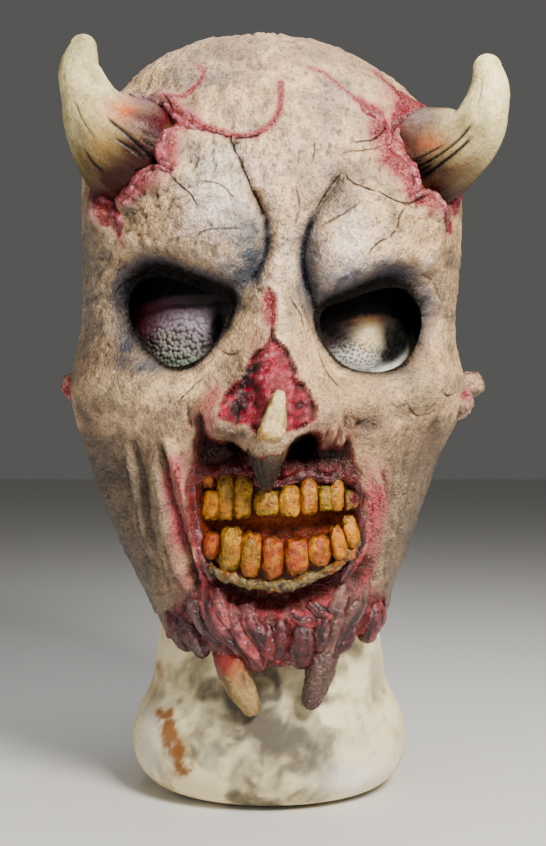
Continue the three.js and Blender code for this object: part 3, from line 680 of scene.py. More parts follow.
    flushes = each(Mound,
        (-27, 196, 7, 10, 0.42), (-24, 205, 5, 6, 0.4), (27, 186, 6, 5, 0.5), (-45, 313, 4, 9, 0.5),
        (-79, 196, 12, 4, 0.38), (50, 318, 9, 10, 0.4), (61, 303, 10, 9, 0.38), (56, 345, 11, 7, 0.45),
        (-40, 334, 8, 5, 0.5), (-45, 318, 5, 10, 0.5), (-64, 300, 9, 7, 0.75), (-84, 300, 7, 7, 0.5),
        (82, 290, 9, 6, 0.5), (-2, 243, 4, 12, 0.42), (-6, 226, 6, 8, 0.45), (-20, 328, 1.4, 1, 0.9),
        (-98, 205, 5, 5, 0.55), (-38, 168, 5, 16, 0.4), (-40, 140, 5, 22, 0.5), (-47, 165, 3, 12, 0.4),
        (46, 150, 5, 24, 0.45), (52, 160, 3, 12, 0.45), (30, 180, 6, 5, 0.6), (-31, 186, 5, 7, 0.55),
        (48, 110, 6, 10, 0.45), (-38, 112, 6, 10, 0.35), (50, 330, 8, 7, 0.42), (57, 314, 7, 6, 0.5),
        (66, 298, 6, 5, 0.55), (-36, 327, 9, 4, 0.45), (-55, 303, 8, 4, 0.42), (66, 350, 11, 6, 0.4),
        (64, 337, 6, 7, 0.8))

    def __init__(self, board: FrontMap) -> None:
        """Works out every map.

        Args:
            board: the cells.
        """
        self.board = board
        x, z = board.x, board.z
        self.grain = fractal(board.places, 3.0, 5)
        self.cloud = fractal(board.places, 22.0, 11, 4)
        self.ledge_z = 112.5 + 12 * ((x - 6) / 33) ** 2
        self.eye_gap = [-board.inside(outline) for outline in self.eyes]
        self.mouth_in = board.inside(self.mouth) + 1.6 * fractal(board.places, 5.0, 23)
        self.flesh_in = board.inside(self.jaw_flesh) + 2.0 * fractal(board.places, 6.0, 29)
        self.wound_in = board.inside(self.wound) + 2.2 * fractal(board.places, 6.0, 31)
        self.gape = smooth_step(self.mouth_in, 1, 5) * bell((z - self.gape_z) / 7)
        self.above = smooth_step(z, 225, 250)
        self.broad = self._broad(x, z)
        self.height = self.broad + self._fine(x, z)
        self.lining = board.lowest(self.broad, 8.0)
        self.crease = board.blurred(self.height, 1.6) - self.height
        self.hollow = board.blurred(self.height, 5.0) - self.height
        self._draw_cracks()
        self.blood, self.wet = self._blood(x, z)
        self.soot_and_shade = self._soot_and_shade(x, z)
        self.tint = self._tint(x, z)

    def _nose(self, x: Array, z: Array) -> Array:
        """The nose: a ridge that widens and rises downwards and steps back under its tip."""
        down = np.clip((264 - z) / (264 - 186), 0, 1)
        upper_end = 1 - smooth_step(z, 256, 274)
        ragged = 9.5 * bell((x + 0.5) / 7.0) + 2.2 * fractal(self.board.places, 4.5, 131, 2)
        lower_end = smooth_step(z + ragged, 174.5, 182.5)
        wide = lerp(9.0, 17.0, down)
        middle = lerp(4.0, 0.5, down)
        return lerp(5.0, 22.5, down) * bell((x - middle) / wide) * upper_end * lower_end

    def _broad(self, x: Array, z: Array) -> Array:
        """The forms that the inside of the casting follows too: mounds, nose, brows, sockets and mouth."""
        height = self._nose(x, z) - 12 * smooth_step(self.mouth_in, 0, 7)
        for form in self.forms + self.nostrils:
            height += form.relief(x, z)
        for outline, fade in zip(self.brows, (322, 318)):
            within = np.clip(self.board.inside(outline), 0, None)
            height += 6.5 * (1 - bell(within / 6.0)) * (1 - smooth_step(z, fade - 38, fade))
        self.board.add_lines(height, self.collars)
        for gap in self.eye_gap:
            height -= 7.5 * bell(np.clip(gap, 0, None) / 7.5)
        return height

    def _fine(self, x: Array, z: Array) -> Array:
        """Carving on the outside alone: creases, sinews, torn lips, clots, fibres, wrinkles and pits."""
        places = self.board.places
        height = np.zeros(x.shape)
        self.board.add_lines(height, self.creases + self.rims + self.lips + (self.slit,))
        strained = np.zeros(x.shape)
        self.board.add_lines(strained, self.sinews)
        height += 1.35 * strained
        for gap in self.eye_gap:
            height -= 1.6 * bell(np.clip(gap, 0, None) / 1.8)
        raw = np.maximum(smooth_step(self.mouth_in, -1, 3), smooth_step(self.flesh_in, -1, 3))
        drawn_out = np.stack([x + 0.15 * (z - 100) * np.sign(x), 0.22 * z], axis=-1)
        fibres = fractal(drawn_out, 3.4, 41) + 0.6 * fractal(places, 2.4, 43)
        clots, _ = cell_distances(places + 0.8 * self.grain[..., None], 3.4, 47)
        knots, _ = cell_distances(places + 1.8 * fractal(places, 4.0, 55)[..., None], 6.5, 57)
        wound = smooth_step(self.wound_in, -0.5, 1.5)
        calm = 1 - 0.6 * bell((x - 4) / 7) * smooth_step(z, 200, 210)
        lumps = calm * (3.6 * (0.55 - knots) + 2.4 * fractal(places, 6.0, 53) + 1.8 * (0.5 - clots))
        lumps += sum(form.relief(x, z) for form in self.hollows)
        height += wound * (lumps - 3.4) + raw * (1 - 0.8 * self.gape) * (1.5 * fibres + 1.1 * (0.5 - clots))
        gum_z = 167 - 4 * ((x - 4.5) / 41) ** 2
        mouth = smooth_step(self.mouth_in, 0, 6)
        uneven = 1 + 0.5 * fractal(places, 5.0, 93)
        height += mouth * uneven * 6.5 * (bell((z - gum_z) / 6) + bell((z - self.ledge_z) / 4.2))
        height += mouth * 2.6 * (0.55 - knots) * (smooth_step(z, 156, 162) + smooth_step(120 - z, 0, 6))
        height -= mouth * (3.0 * bell((z - self.gape_z) / 5) + 0.6 * bell((z - self.ledge_z + 9) / 4))
        skin = (1 - np.maximum(raw, wound)) * (1 - 0.55 * smooth_step(np.abs(x), 80, 98))
        wrinkle_near, wrinkle_next = cell_distances(places + 2.0 * self.grain[..., None], 6.5, 59)
        net = bell((wrinkle_next - wrinkle_near) / 0.15)
        aged = smooth_step(fractal(places, 26.0, 61), -0.35, 0.35) * smooth_step(z, 205, 250)
        pebble = fractal(places, 1.9, 73, 2)
        coarse = 0.65 + 0.35 * (smooth_step(z, 165, 190) + self.above)
        coarse -= 0.7 * smooth_step(z, 335, 372)
        pits, _ = cell_distances(places, 7.5, 71)
        texture = coarse * (0.65 * self.grain + 0.55 * pebble) - 1.1 * net * aged - bell(pits / 0.1)
        return height + skin * (0.8 * fractal(places, 11.0, 67) + texture)

    def _draw_cracks(self) -> None:
        """Finds each cell's signed distance to the nearest crack and that crack's strength, and carves it."""
        shape = self.board.x.shape
        self.crack = np.full(shape, 9.0)
        self.crack_strength = np.zeros(shape)
        for line in self.cracks:
            path = smooth_path(line.path)
            block = self.board.window(path, 5.0)
            distance, _, to_end = path_measure(path, self.board.places[block])
            distance = distance + 0.5 * self.grain[block]
            closer = np.abs(distance) < np.abs(self.crack[block])
            strength = smooth_step(to_end, -0.6, 5.0) * (1 - smooth_step(np.abs(distance), 1.8, 2.6))
            self.crack[block] = np.where(closer, distance, self.crack[block])
            strength = strength * min(line.wide + 0.3, 1) * smooth_step(self.grain[block], -0.9, -0.1)
            self.crack_strength[block] = np.where(closer, strength, self.crack_strength[block])
        self.height -= 1.1 * self.crack_strength * bell(self.crack / 0.9)

    def _blood(self, x: Array, z: Array) -> tuple[Array, Array]:
        """How thick crimson paint lies, and how glossy the surface is, from 0 to 1."""
        blood = np.zeros(x.shape)
        collars = tuple(Line(collar.path, 4.8, 0.52, 6) for collar in self.collars)
        self.board.cover_lines(blood, (Line(self.slit.path, 3.0), *self.veins, *self.strands, *collars))
        flush = sum(form.relief(x, z) for form in self.flushes)
        blood = np.clip(blood + flush * (0.75 + 0.5 * self.cloud), 0, 1)
        wound = smooth_step(self.wound_in, -1.0, 1.0)
        raw = np.maximum(smooth_step(self.mouth_in, -2.5, 2), smooth_step(self.flesh_in, -1, 3))
        open_flesh = np.maximum(raw, wound)
        wet = np.maximum(open_flesh, 0.6 * smooth_step(blood, 0.45, 0.9))
        return blood * (1 - open_flesh), wet * (1 - self.gape)

    def _soot_and_shade(self, x: Array, z: Array) -> Array:
        """Black airbrushing round the eye holes and in the brows' creases, with painted shadow under the
        brows and painted shade in the nostrils, from 0 to 1.
        """
        soot_and_shade = np.zeros(x.shape)
        spared = sum(form.relief(x, z) for form in self.spared)
        for gap, middle in zip(self.eye_gap, (-43, 49)):
            outwards = smooth_step((x - middle) * np.sign(middle), -10, 30)
            # The black reaches further above the holes, and for the left eye lies flat higher up, as painted
            # shadow under the brows.
            reach = 1.9 + 2.6 * outwards + 2.4 * self.above
            flat = 0.2 + (1.4 if middle < 0 else 0.0) * smooth_step(z, 240, 252) + 0.8 * outwards
            ring = bell(np.clip(gap - flat, 0, None) / reach)
            soot_and_shade = np.maximum(soot_and_shade, ring * (1 - np.clip(spared, 0, 1) * smooth_step(gap, -1, 1)))
        self.board.cover_lines(soot_and_shade, self.brow_soot_and_shade)
        # The black in the nostril hollows is painted shade.
        nostril = sum(form.relief(x, z) for form in self.nostrils)
        return np.clip(np.maximum(soot_and_shade, smooth_step(-nostril, 2.5, 6.5)), 0, 1)

    def _tint(self, x: Array, z: Array) -> Array:
        """The airbrushed colours under the crimson and the black, with painted highlights and painted shade
        among them.
        """
        places = self.board.places
        blotch = fractal(places, 9.0, 83)
        tint = coats("e3bf97", ("ac8a6a", 0.75 * smooth_step(self.cloud + 0.3 * blotch, -0.15, 0.55)),
                     ("756556", 0.55 * smooth_step(blotch - 0.4 * self.cloud, 0.05, 0.6)))
        for spray in self.sprays:
            tint = coats(tint, spray.layer(x, z, 0.9 + 0.6 * blotch, self.spray_depth))
        # Painted highlights on the bulges, stronger higher up, and painted shade in the creases and hollows.
        high = smooth_step(-self.hollow, 0.5, 2.0)
        tint = coats(tint, ("f4e7d2", (0.12 + 0.4 * smooth_step(z, 215, 250)) * high),
                     ("2a2019", 0.8 * smooth_step(self.crease, 0.2, 0.9)),
                     ("43362c", 0.5 * smooth_step(self.hollow, 0.5, 2.4)))
        dabs = smooth_step(fractal(places, 2.2, 79, 2), -0.25, 0.35)
        for spray in self.bruises_and_painted_shade:
            tint = coats(tint, spray.layer(x, z, 0.68 + 0.4 * dabs))
        # The lower sides darken towards the edges, partly as painted shade.
        outer = smooth_step(np.abs(x), 38, 62) * smooth_step(195 - z, 0, 30)
        edge = smooth_step(np.abs(x) + 0.35 * (150 - z), 66, 92) * (1 + 0.3 * blotch)
        halo = smooth_step(self.board.blurred(self.soot_and_shade, 3.5), 0.05, 0.4)
        cheeks = np.maximum(smooth_step(self.mouth_in, -9, 0), smooth_step(self.flesh_in, -6, 1))
        tint = coats(tint, ("5b4f44", 0.8 * outer), ("2e2722", 0.75 * outer * edge),
                     ("484a56", (0.35 + 0.45 * self.above) * halo),
                     ("7a4440", 0.45 * cheeks * smooth_step(blotch, -0.5, 0.5)))
        return self._mouth_tint(self._wound_tint(tint, x, z), x, z, blotch)

    def _wound_tint(self, tint: Array, x: Array, z: Array) -> Array:
        """Lays the nose wound's reds and its dark clots over the tint, with painted highlights on its raised,
        lit parts and painted shade in its creases.
        """
        wound = smooth_step(self.wound_in, -0.8, 0.8)
        clots = sum(form.relief(x, z) for form in self.clots)
        clots = clots * (0.8 + 0.9 * smooth_noise(self.board.places, 2.6, 87))
        lit = smooth_step(-self.crease, -0.1, 0.7) * smooth_step(z + 0.9 * x, 198, 216)
        return coats(
            tint, ("872c37", wound), ("d0828c", 0.65 * wound * lit),
            ("a8616a", 0.6 * wound * smooth_step(-self.crease, 0.3, 1.2)),
            ("370a10", 0.95 * wound * smooth_step(self.crease, 0.0, 0.7)),
            ("2c2223", 0.85 * smooth_step(clots, 0.3, 0.8)),
            ("80787a", 0.5 * smooth_step(clots, 0.4, 0.8) * smooth_step(-self.crease, 0.2, 0.8)),
            ("0c0505", 0.9 * smooth_step(clots, 0.3, 0.8) * smooth_step(self.crease, -0.1, 0.5)))

    def _mouth_tint(self, tint: Array, x: Array, z: Array, blotch: Array) -> Array:
        """Lays the raw flesh of the mouth and chin, the gape and the stained ledge over the tint, with
        painted light and shade.
        """
        raw = np.maximum(smooth_step(self.mouth_in, -1.0, 1.2), smooth_step(self.flesh_in, -0.5, 1.5))
        ridge = smooth_step(-self.crease, 0.05, 0.6)
        lower = smooth_step(150 - z, 0, 20)
        gape = smooth_step(self.mouth_in, 2, 5) * bell((z - self.gape_z) / 6)
        ledge = smooth_step(self.mouth_in, 1, 4) * bell((z - self.ledge_z - 0.5 - 1.5 * blotch) / 2.8)
        # Painted highlights on the flesh's ridges; painted shade in its creases, at the top of the gape and
        # in the near-black band high in the mouth, under the nose.
        return coats(
            tint, ("4c1d1b", raw), ("6a2024", 0.7 * raw * ridge * (1 - lower)),
            ("9c444b", 0.75 * raw * ridge * lower),
            ("8a6562", 0.5 * raw * smooth_step(blotch, 0.0, 0.5) * smooth_step(120 - z, 0, 12)),
            ("220807", 0.85 * raw * smooth_step(self.crease, 0.1, 0.9)),
            ("a8440f", gape), ("2e0a04", gape * smooth_step(z - self.gape_z, 0, 6)),
            ("1c0605", 0.9 * smooth_step(self.mouth_in, 1, 4) * smooth_step(z, 164, 174)),
            Spray("5d2724", -20, 168, 12, 4, 0.8).layer(x, z),
            ("8d7459", 0.85 * ledge * smooth_step(blotch, -0.6, 0.1)),
            ("b0602c", 0.7 * ledge * smooth_step(fractal(self.board.places, 4.0, 89), 0.1, 0.5)),
            ("4a1312", 0.8 * smooth_step(self.mouth_in, 0, 3) * bell((z - self.ledge_z + 8) / 4)))


def grid_faces(rows: int, columns: int) -> list[Array]:
    """Faces of a grid whose columns wrap round and whose ends each close in a pole.

    Args:
        rows: rows of vertices, numbered row by row, which the first and the last pole follow.
        columns: vertices in each row.

    Returns:
        The quads, and the triangles of the fans to the poles.
    """
    row, column = np.meshgrid(np.arange(rows - 1), np.arange(columns), indexing="ij")
    beside = (column + 1) % columns
    corners = (row * columns + column, row * columns + beside, (row + 1) * columns + beside,
               (row + 1) * columns + column)
    ring = np.arange(columns)
    turned = (ring + 1) % columns
    base = (rows - 1) * columns
    start = np.stack([turned, ring, np.full(columns, rows * columns)], axis=-1)
    end = np.stack([base + ring, base + turned, np.full(columns, rows * columns + 1)], axis=-1)
    return [np.stack(corners, axis=-1).reshape(-1, 4), start, end]


def grid_normals(points: Array) -> Array:
    """Unit normals of a grid whose columns wrap round, pointing away from each row's middle.

    Args:
        points: rows, columns and coordinates.

    Returns:
        The cross product of the steps along both directions, made one unit long.
    """
    around = np.roll(points, -1, axis=1) - np.roll(points, 1, axis=1)
    along = np.gradient(points, axis=0)
    normal = np.cross(around, along)
    normal /= np.linalg.norm(normal, axis=-1, keepdims=True) + 1e-9
    away = points - points.mean(axis=1, keepdims=True)
    return normal * np.where((normal * away).sum(axis=-1).mean() < 0, -1, 1)


def signed_volume(points: Array, faces: Sequence[Array]) -> float:
    """A closed mesh's volume, negative where its faces point inwards."""
    total = 0.0
    for face in faces:
        for corner in range(1, face.shape[1] - 1):
            a, b, c = points[face[:, 0]], points[face[:, corner]], points[face[:, corner + 1]]
            total += float(np.einsum("ij,ij->i", a, np.cross(b, c)).sum()) / 6
    return total


COVERS = ("wet", "blood", "soot_and_shade", "crack", "crack_strength")


@dataclass
class Paint:
    """A piece's paint: its tint and its covers, with one value for all vertices or one for each."""

    tint: Array
    wet: Optional[Values] = None
    blood: Optional[Values] = None
    soot_and_shade: Optional[Values] = None
    crack: Optional[Values] = None
    crack_strength: Optional[Values] = None

    def store(self, mesh: bpy.types.Mesh) -> None:
        """Writes the tint and each known cover as point attributes of the mesh."""
        count = len(mesh.vertices)
        colour = np.ones((count, 4))
        colour[:, :3] = self.tint
        layer = mesh.attributes.new("tint", "FLOAT_COLOR", "POINT")
        layer.data.foreach_set("color", colour.ravel())
        for name in COVERS:
            values = getattr(self, name)
            if values is not None:
                layer = mesh.attributes.new(name, "FLOAT", "POINT")
                layer.data.foreach_set("value", np.broadcast_to(values, (count,)).astype(float))


class Role(Enum):
    """The CAD node that a piece stands for, and its material slot."""

    MASK = ("mask", "latex_skin")
    HEAD = ("display_head", "foam_form")


def make_piece(name: str, points: Array, faces: Sequence[Array]) -> bpy.types.Object:
    """Makes a smooth-shaded closed piece with its faces outwards.

    Args:
        name: the piece's name.
        points: vertices in millimetres.
        faces: arrays of faces, each with one number of corners.

    Returns:
        The object, at the origin.
    """
    if signed_volume(points, faces) < 0:
        faces = [face[:, ::-1] for face in faces]
    mesh = bpy.data.meshes.new(name)
    mesh.from_pydata((points * MM).tolist(), [], [corners for face in faces for corners in face.tolist()])
    mesh.polygons.foreach_set("use_smooth", np.ones(len(mesh.polygons), bool))
    mesh.update()
    piece = bpy.data.objects.new(name, mesh)
    bpy.context.scene.collection.objects.link(piece)
    return piece


def finish_piece(piece: bpy.types.Object, paint: Paint, finish: "PaintedFinish",
                 role: Role = Role.MASK) -> bpy.types.Object:
    """Paints a piece and joins it to the frame.

    Args:
        piece: the piece.
        paint: its paint.
        finish: its finish.
        role: what it stands for.

    Returns:
        The same piece.
    """
    node, slot = role.value
    paint.store(piece.data)
    piece.data.materials.append(finish.material())
    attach(piece, "root")
    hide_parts(node)
    triangles = sum(len(face.vertices) - 2 for face in piece.data.polygons)
    log.info("%s: %d triangles", piece.name, triangles)
    return piece


Output = bpy.types.NodeSocket


class NodeSheet:
    """A material's node tree, with short ways to add its nodes."""

    def __init__(self, material: bpy.types.Material) -> None:
        """Empties the material's tree.

        Args:
            material: the material.
        """
        material.use_nodes = True
        self.tree = material.node_tree
        self.tree.nodes.clear()

    def add(self, kind: str, inputs: Optional[dict] = None, **settings: object) -> bpy.types.Node:
        """Adds a node with its settings and links.

        Args:
            kind: the node's type, without the words it starts with.
            inputs: for each input, by name or number, its value or the output that feeds it.
            settings: the node's own properties.

        Returns:
            The node.
        """
        made = self.tree.nodes.new("ShaderNode" + kind)
        for key, value in settings.items():
            setattr(made, key, value)
        for key, value in (inputs or {}).items():
            if isinstance(value, Output):
                self.tree.links.new(value, made.inputs[key])
            else:
                made.inputs[key].default_value = value
        return made

    def read(self, name: str, output: str = "Fac") -> Output:
        """Reads a point attribute of the mesh."""
        return self.add("Attribute", attribute_name=name).outputs[output]

    def noise(self, place: Output, size: float, detail: float = 3.0) -> Output:
        """Adds a noise pattern whose features are about size millimetres."""
        inputs = {"Vector": place, "Scale": 1 / (size * MM), "Detail": detail}
        return self.add("TexNoise", inputs).outputs["Fac"]

    def ramp(self, value: Output, low: float, high: float, start: float = 0.0, end: float = 1.0) -> Output:
        """Adds a smooth ramp from start at low to end at high."""
        inputs = {"Value": value, "From Min": low, "From Max": high, "To Min": start, "To Max": end}
        return self.add("MapRange", inputs, interpolation_type="SMOOTHSTEP").outputs["Result"]

    def math(self, operation: str, a: object, b: object = 0.0) -> Output:
        """Adds a sum, product or the like of two values."""
        return self.add("Math", {0: a, 1: b}, operation=operation).outputs["Value"]

    def times(self, a: object, b: object) -> Output:
        """Adds a product."""
        return self.math("MULTIPLY", a, b)

    def vector(self, operation: str, *inputs: object) -> Output:
        """Adds a sum or the like of vectors."""
        return self.add("VectorMath", dict(enumerate(inputs)), operation=operation).outputs["Vector"]

    def mix(self, share: object, a: object, b: object, way: str = "MIX") -> Output:
        """Adds a mix of two colours."""
        return self.add("Mix", {0: share, 6: a, 7: b}, data_type="RGBA", blend_type=way).outputs[2]


def opaque(colour: str) -> tuple[float, ...]:
    """A hex colour as a shader takes it, with full alpha."""
    return (*linear(colour), 1)


@dataclass(frozen=True)
class PaintedFinish:
    """A hand-painted surface: airbrushed tint, mottling, speckles with painted highlights on their bumps and
    painted shade between them, pits, crackle, crimson, black and grain.

    Sizes are millimetres and covers run from 0 to 1.
    """

    name: str
    mottle_size: float = 7.0
    mottle: float = 0.3
    speckle_size: float = 1.6
    speckle: float = 0.46
    light: float = 1.38
    pit_spacing: float = 5.0
    pit_size: float = 0.5
    pits: float = 0.85
    crackle_size: float = 7.0
    crackle: float = 0.22
    grain_size: float = 1.3
    bump: float = 1.1
    dry: float = 0.38
    glossy: float = 0.2
    gloss: float = 0.42
    dark: str = "3a2d24"
    vivid: float = 1.12

    def material(self) -> bpy.types.Material:
        """Makes the material once, and gives it again after that."""
        known = bpy.data.materials.get(self.name)
        if known:
            return known
        made = bpy.data.materials.new(self.name)
        sheet = NodeSheet(made)
        layers = self._layers(sheet, sheet.add("TexCoord").outputs["Object"])
        varnished = sheet.add("HueSaturation", {"Color": layers["colour"], "Saturation": self.vivid})
        bumped = sheet.add("Bump", {"Height": layers["height"], "Distance": self.bump * MM})
        shader = sheet.add("BsdfPrincipled", {
            "Base Color": varnished.outputs["Color"], "Roughness": layers["rough"],
            "Normal": bumped.outputs["Normal"], "IOR": 1.5, "Specular IOR Level": layers["shine"]})
        sheet.add("OutputMaterial", {"Surface": shader.outputs["BSDF"]})
        return made

    def _layers(self, sheet: NodeSheet, place: Output) -> dict[str, Output]:
        """Builds up the paint.

        Args:
            sheet: the material's nodes.
            place: the coordinates its patterns read.

        Returns:
            Its colour, its height for the bump, its roughness and its shine.
        """
        read = {name: sheet.read(name) for name in COVERS}
        dark = opaque(self.dark)
        mottle = sheet.noise(place, self.mottle_size)
        speckle = sheet.noise(place, self.speckle_size, 4.0)
        grain = sheet.noise(place, self.grain_size, 5.0)
        colour = sheet.mix(sheet.ramp(mottle, 0.42, 0.68, 0, self.mottle), sheet.read("tint", "Color"), dark)
        # The speckle's high spots, which the bump raises, are lightened as flecks and painted highlights; its
        # low spots are darkened as painted shade.
        pale = sheet.mix(1.0, colour, (self.light, self.light, 0.97 * self.light, 1), "MULTIPLY")
        colour = sheet.mix(sheet.ramp(speckle, 0.5, 0.68), colour, pale)
        pit = self._pits(sheet, place)
        net = self._crackle(sheet, place, mottle)
        for cover in (sheet.ramp(speckle, 0.49, 0.3, 0, self.speckle), pit, net):
            colour = sheet.mix(cover, colour, dark)
        thick = sheet.ramp(self._uneven(sheet, read["blood"], grain, 0.3), 0.55, 1.0)
        crimson = sheet.mix(thick, opaque("a9565f"), opaque("6a1823"))
        spread = sheet.ramp(self._uneven(sheet, read["blood"], speckle, 0.16), 0.12, 0.8, 0, 0.92)
        black = sheet.ramp(self._uneven(sheet, read["soot_and_shade"], speckle, 0.12), 0.12, 0.9, 0, 0.97)
        near = sheet.ramp(sheet.math("ABSOLUTE", read["crack"]), 0.6, 0.1)
        crack = sheet.times(near, read["crack_strength"])
        dried = sheet.times(crack, 0.9)
        for cover, over in ((spread, crimson), (black, opaque("050505")), (dried, opaque("1d1612"))):
            colour = sheet.mix(cover, colour, over)
        wet = sheet.math("MAXIMUM", read["wet"], sheet.times(thick, 0.6))
        uneven = sheet.ramp(speckle, 0.3, 0.7, 0.08, -0.08)
        rough = sheet.math("ADD", sheet.ramp(wet, 0, 1, self.dry, self.glossy), uneven)
        height = sheet.math("ADD", sheet.math("SUBTRACT", grain, pit), speckle)
        for line, deep in ((crack, 1.5), (net, 0.8)):
            height = sheet.math("SUBTRACT", height, sheet.times(line, deep))
        shine = sheet.math("SUBTRACT", self.gloss, sheet.times(black, 0.84 * self.gloss))
        return {"colour": colour, "height": height, "rough": rough, "shine": shine}

    def _uneven(self, sheet: NodeSheet, value: Output, pattern: Output, amount: float) -> Output:
        """Makes a cover uneven by a pattern, and leaves it at 0 where there is none."""
        swing = sheet.times(sheet.ramp(pattern, 0.3, 0.7, -amount, amount), sheet.ramp(value, 0, 0.15))
        return sheet.math("ADD", value, swing)

    def _pits(self, sheet: NodeSheet, place: Output) -> Output:
        """Adds scattered round pits, 1 in their middles."""
        spots = sheet.add("TexVoronoi", {"Vector": place, "Scale": 1 / (self.pit_spacing * MM)})
        reach = self.pit_size / self.pit_spacing
        return sheet.ramp(spots.outputs["Distance"], reach, 0.4 * reach, 0, self.pits)

    def _crackle(self, sheet: NodeSheet, place: Output, mottle: Output) -> Output:
        """Adds patches of fine crackle: the borders of cells, bent by a noise."""
        size = self.crackle_size * MM
        wave = sheet.noise(place, 0.5 * self.crackle_size, 2.0)
        against = sheet.math("SUBTRACT", 1.0, wave)
        bend = sheet.add("CombineXYZ", {0: wave, 1: wave, 2: against}).outputs["Vector"]
        beside = sheet.vector("ADD", place, (MM, -MM, MM))
        bent = sheet.vector("MULTIPLY_ADD", bend, (size, size, size), beside)
        cells = sheet.add("TexVoronoi", {"Vector": bent, "Scale": 1 / size}, feature="DISTANCE_TO_EDGE")
        line = sheet.ramp(cells.outputs["Distance"], 0.07, 0.015, 0, self.crackle)
        return sheet.times(line, sheet.ramp(mottle, 0.44, 0.56))


LATEX = PaintedFinish("painted_cast_latex")
HORN = PaintedFinish(
    "airbrushed_horn", mottle=0.2, mottle_size=9, speckle=0.32, light=1.15, pit_spacing=9, pits=0.8,
    crackle=0.2, bump=0.35, dry=0.42, gloss=0.24, dark="2c1f17", vivid=1.2)
ENAMEL = PaintedFinish(
    "stained_tooth_enamel", mottle=0.25, mottle_size=4, speckle_size=1.5, speckle=0.3, light=1.2,
    pit_spacing=3.4, pits=0.95, crackle_size=5, crackle=0.4, bump=0.6, dry=0.36, gloss=0.4, dark="22160a",
    vivid=1.1)
FLESH = PaintedFinish(
    "glossy_raw_flesh", mottle=0.45, mottle_size=5, speckle_size=1.5, speckle=0.55, pits=0, crackle=0,
    grain_size=1.2, bump=0.6, dry=0.4, glossy=0.14, gloss=0.5, dark="1f0708", vivid=0.95)
FOAM = PaintedFinish(
    "moulded_foam", mottle=0.1, mottle_size=14, speckle=0.06, light=1.05, pits=0, crackle=0, grain_size=2,
    bump=0.08, dry=0.7, gloss=0.2, dark="5d564c", vivid=1.1)


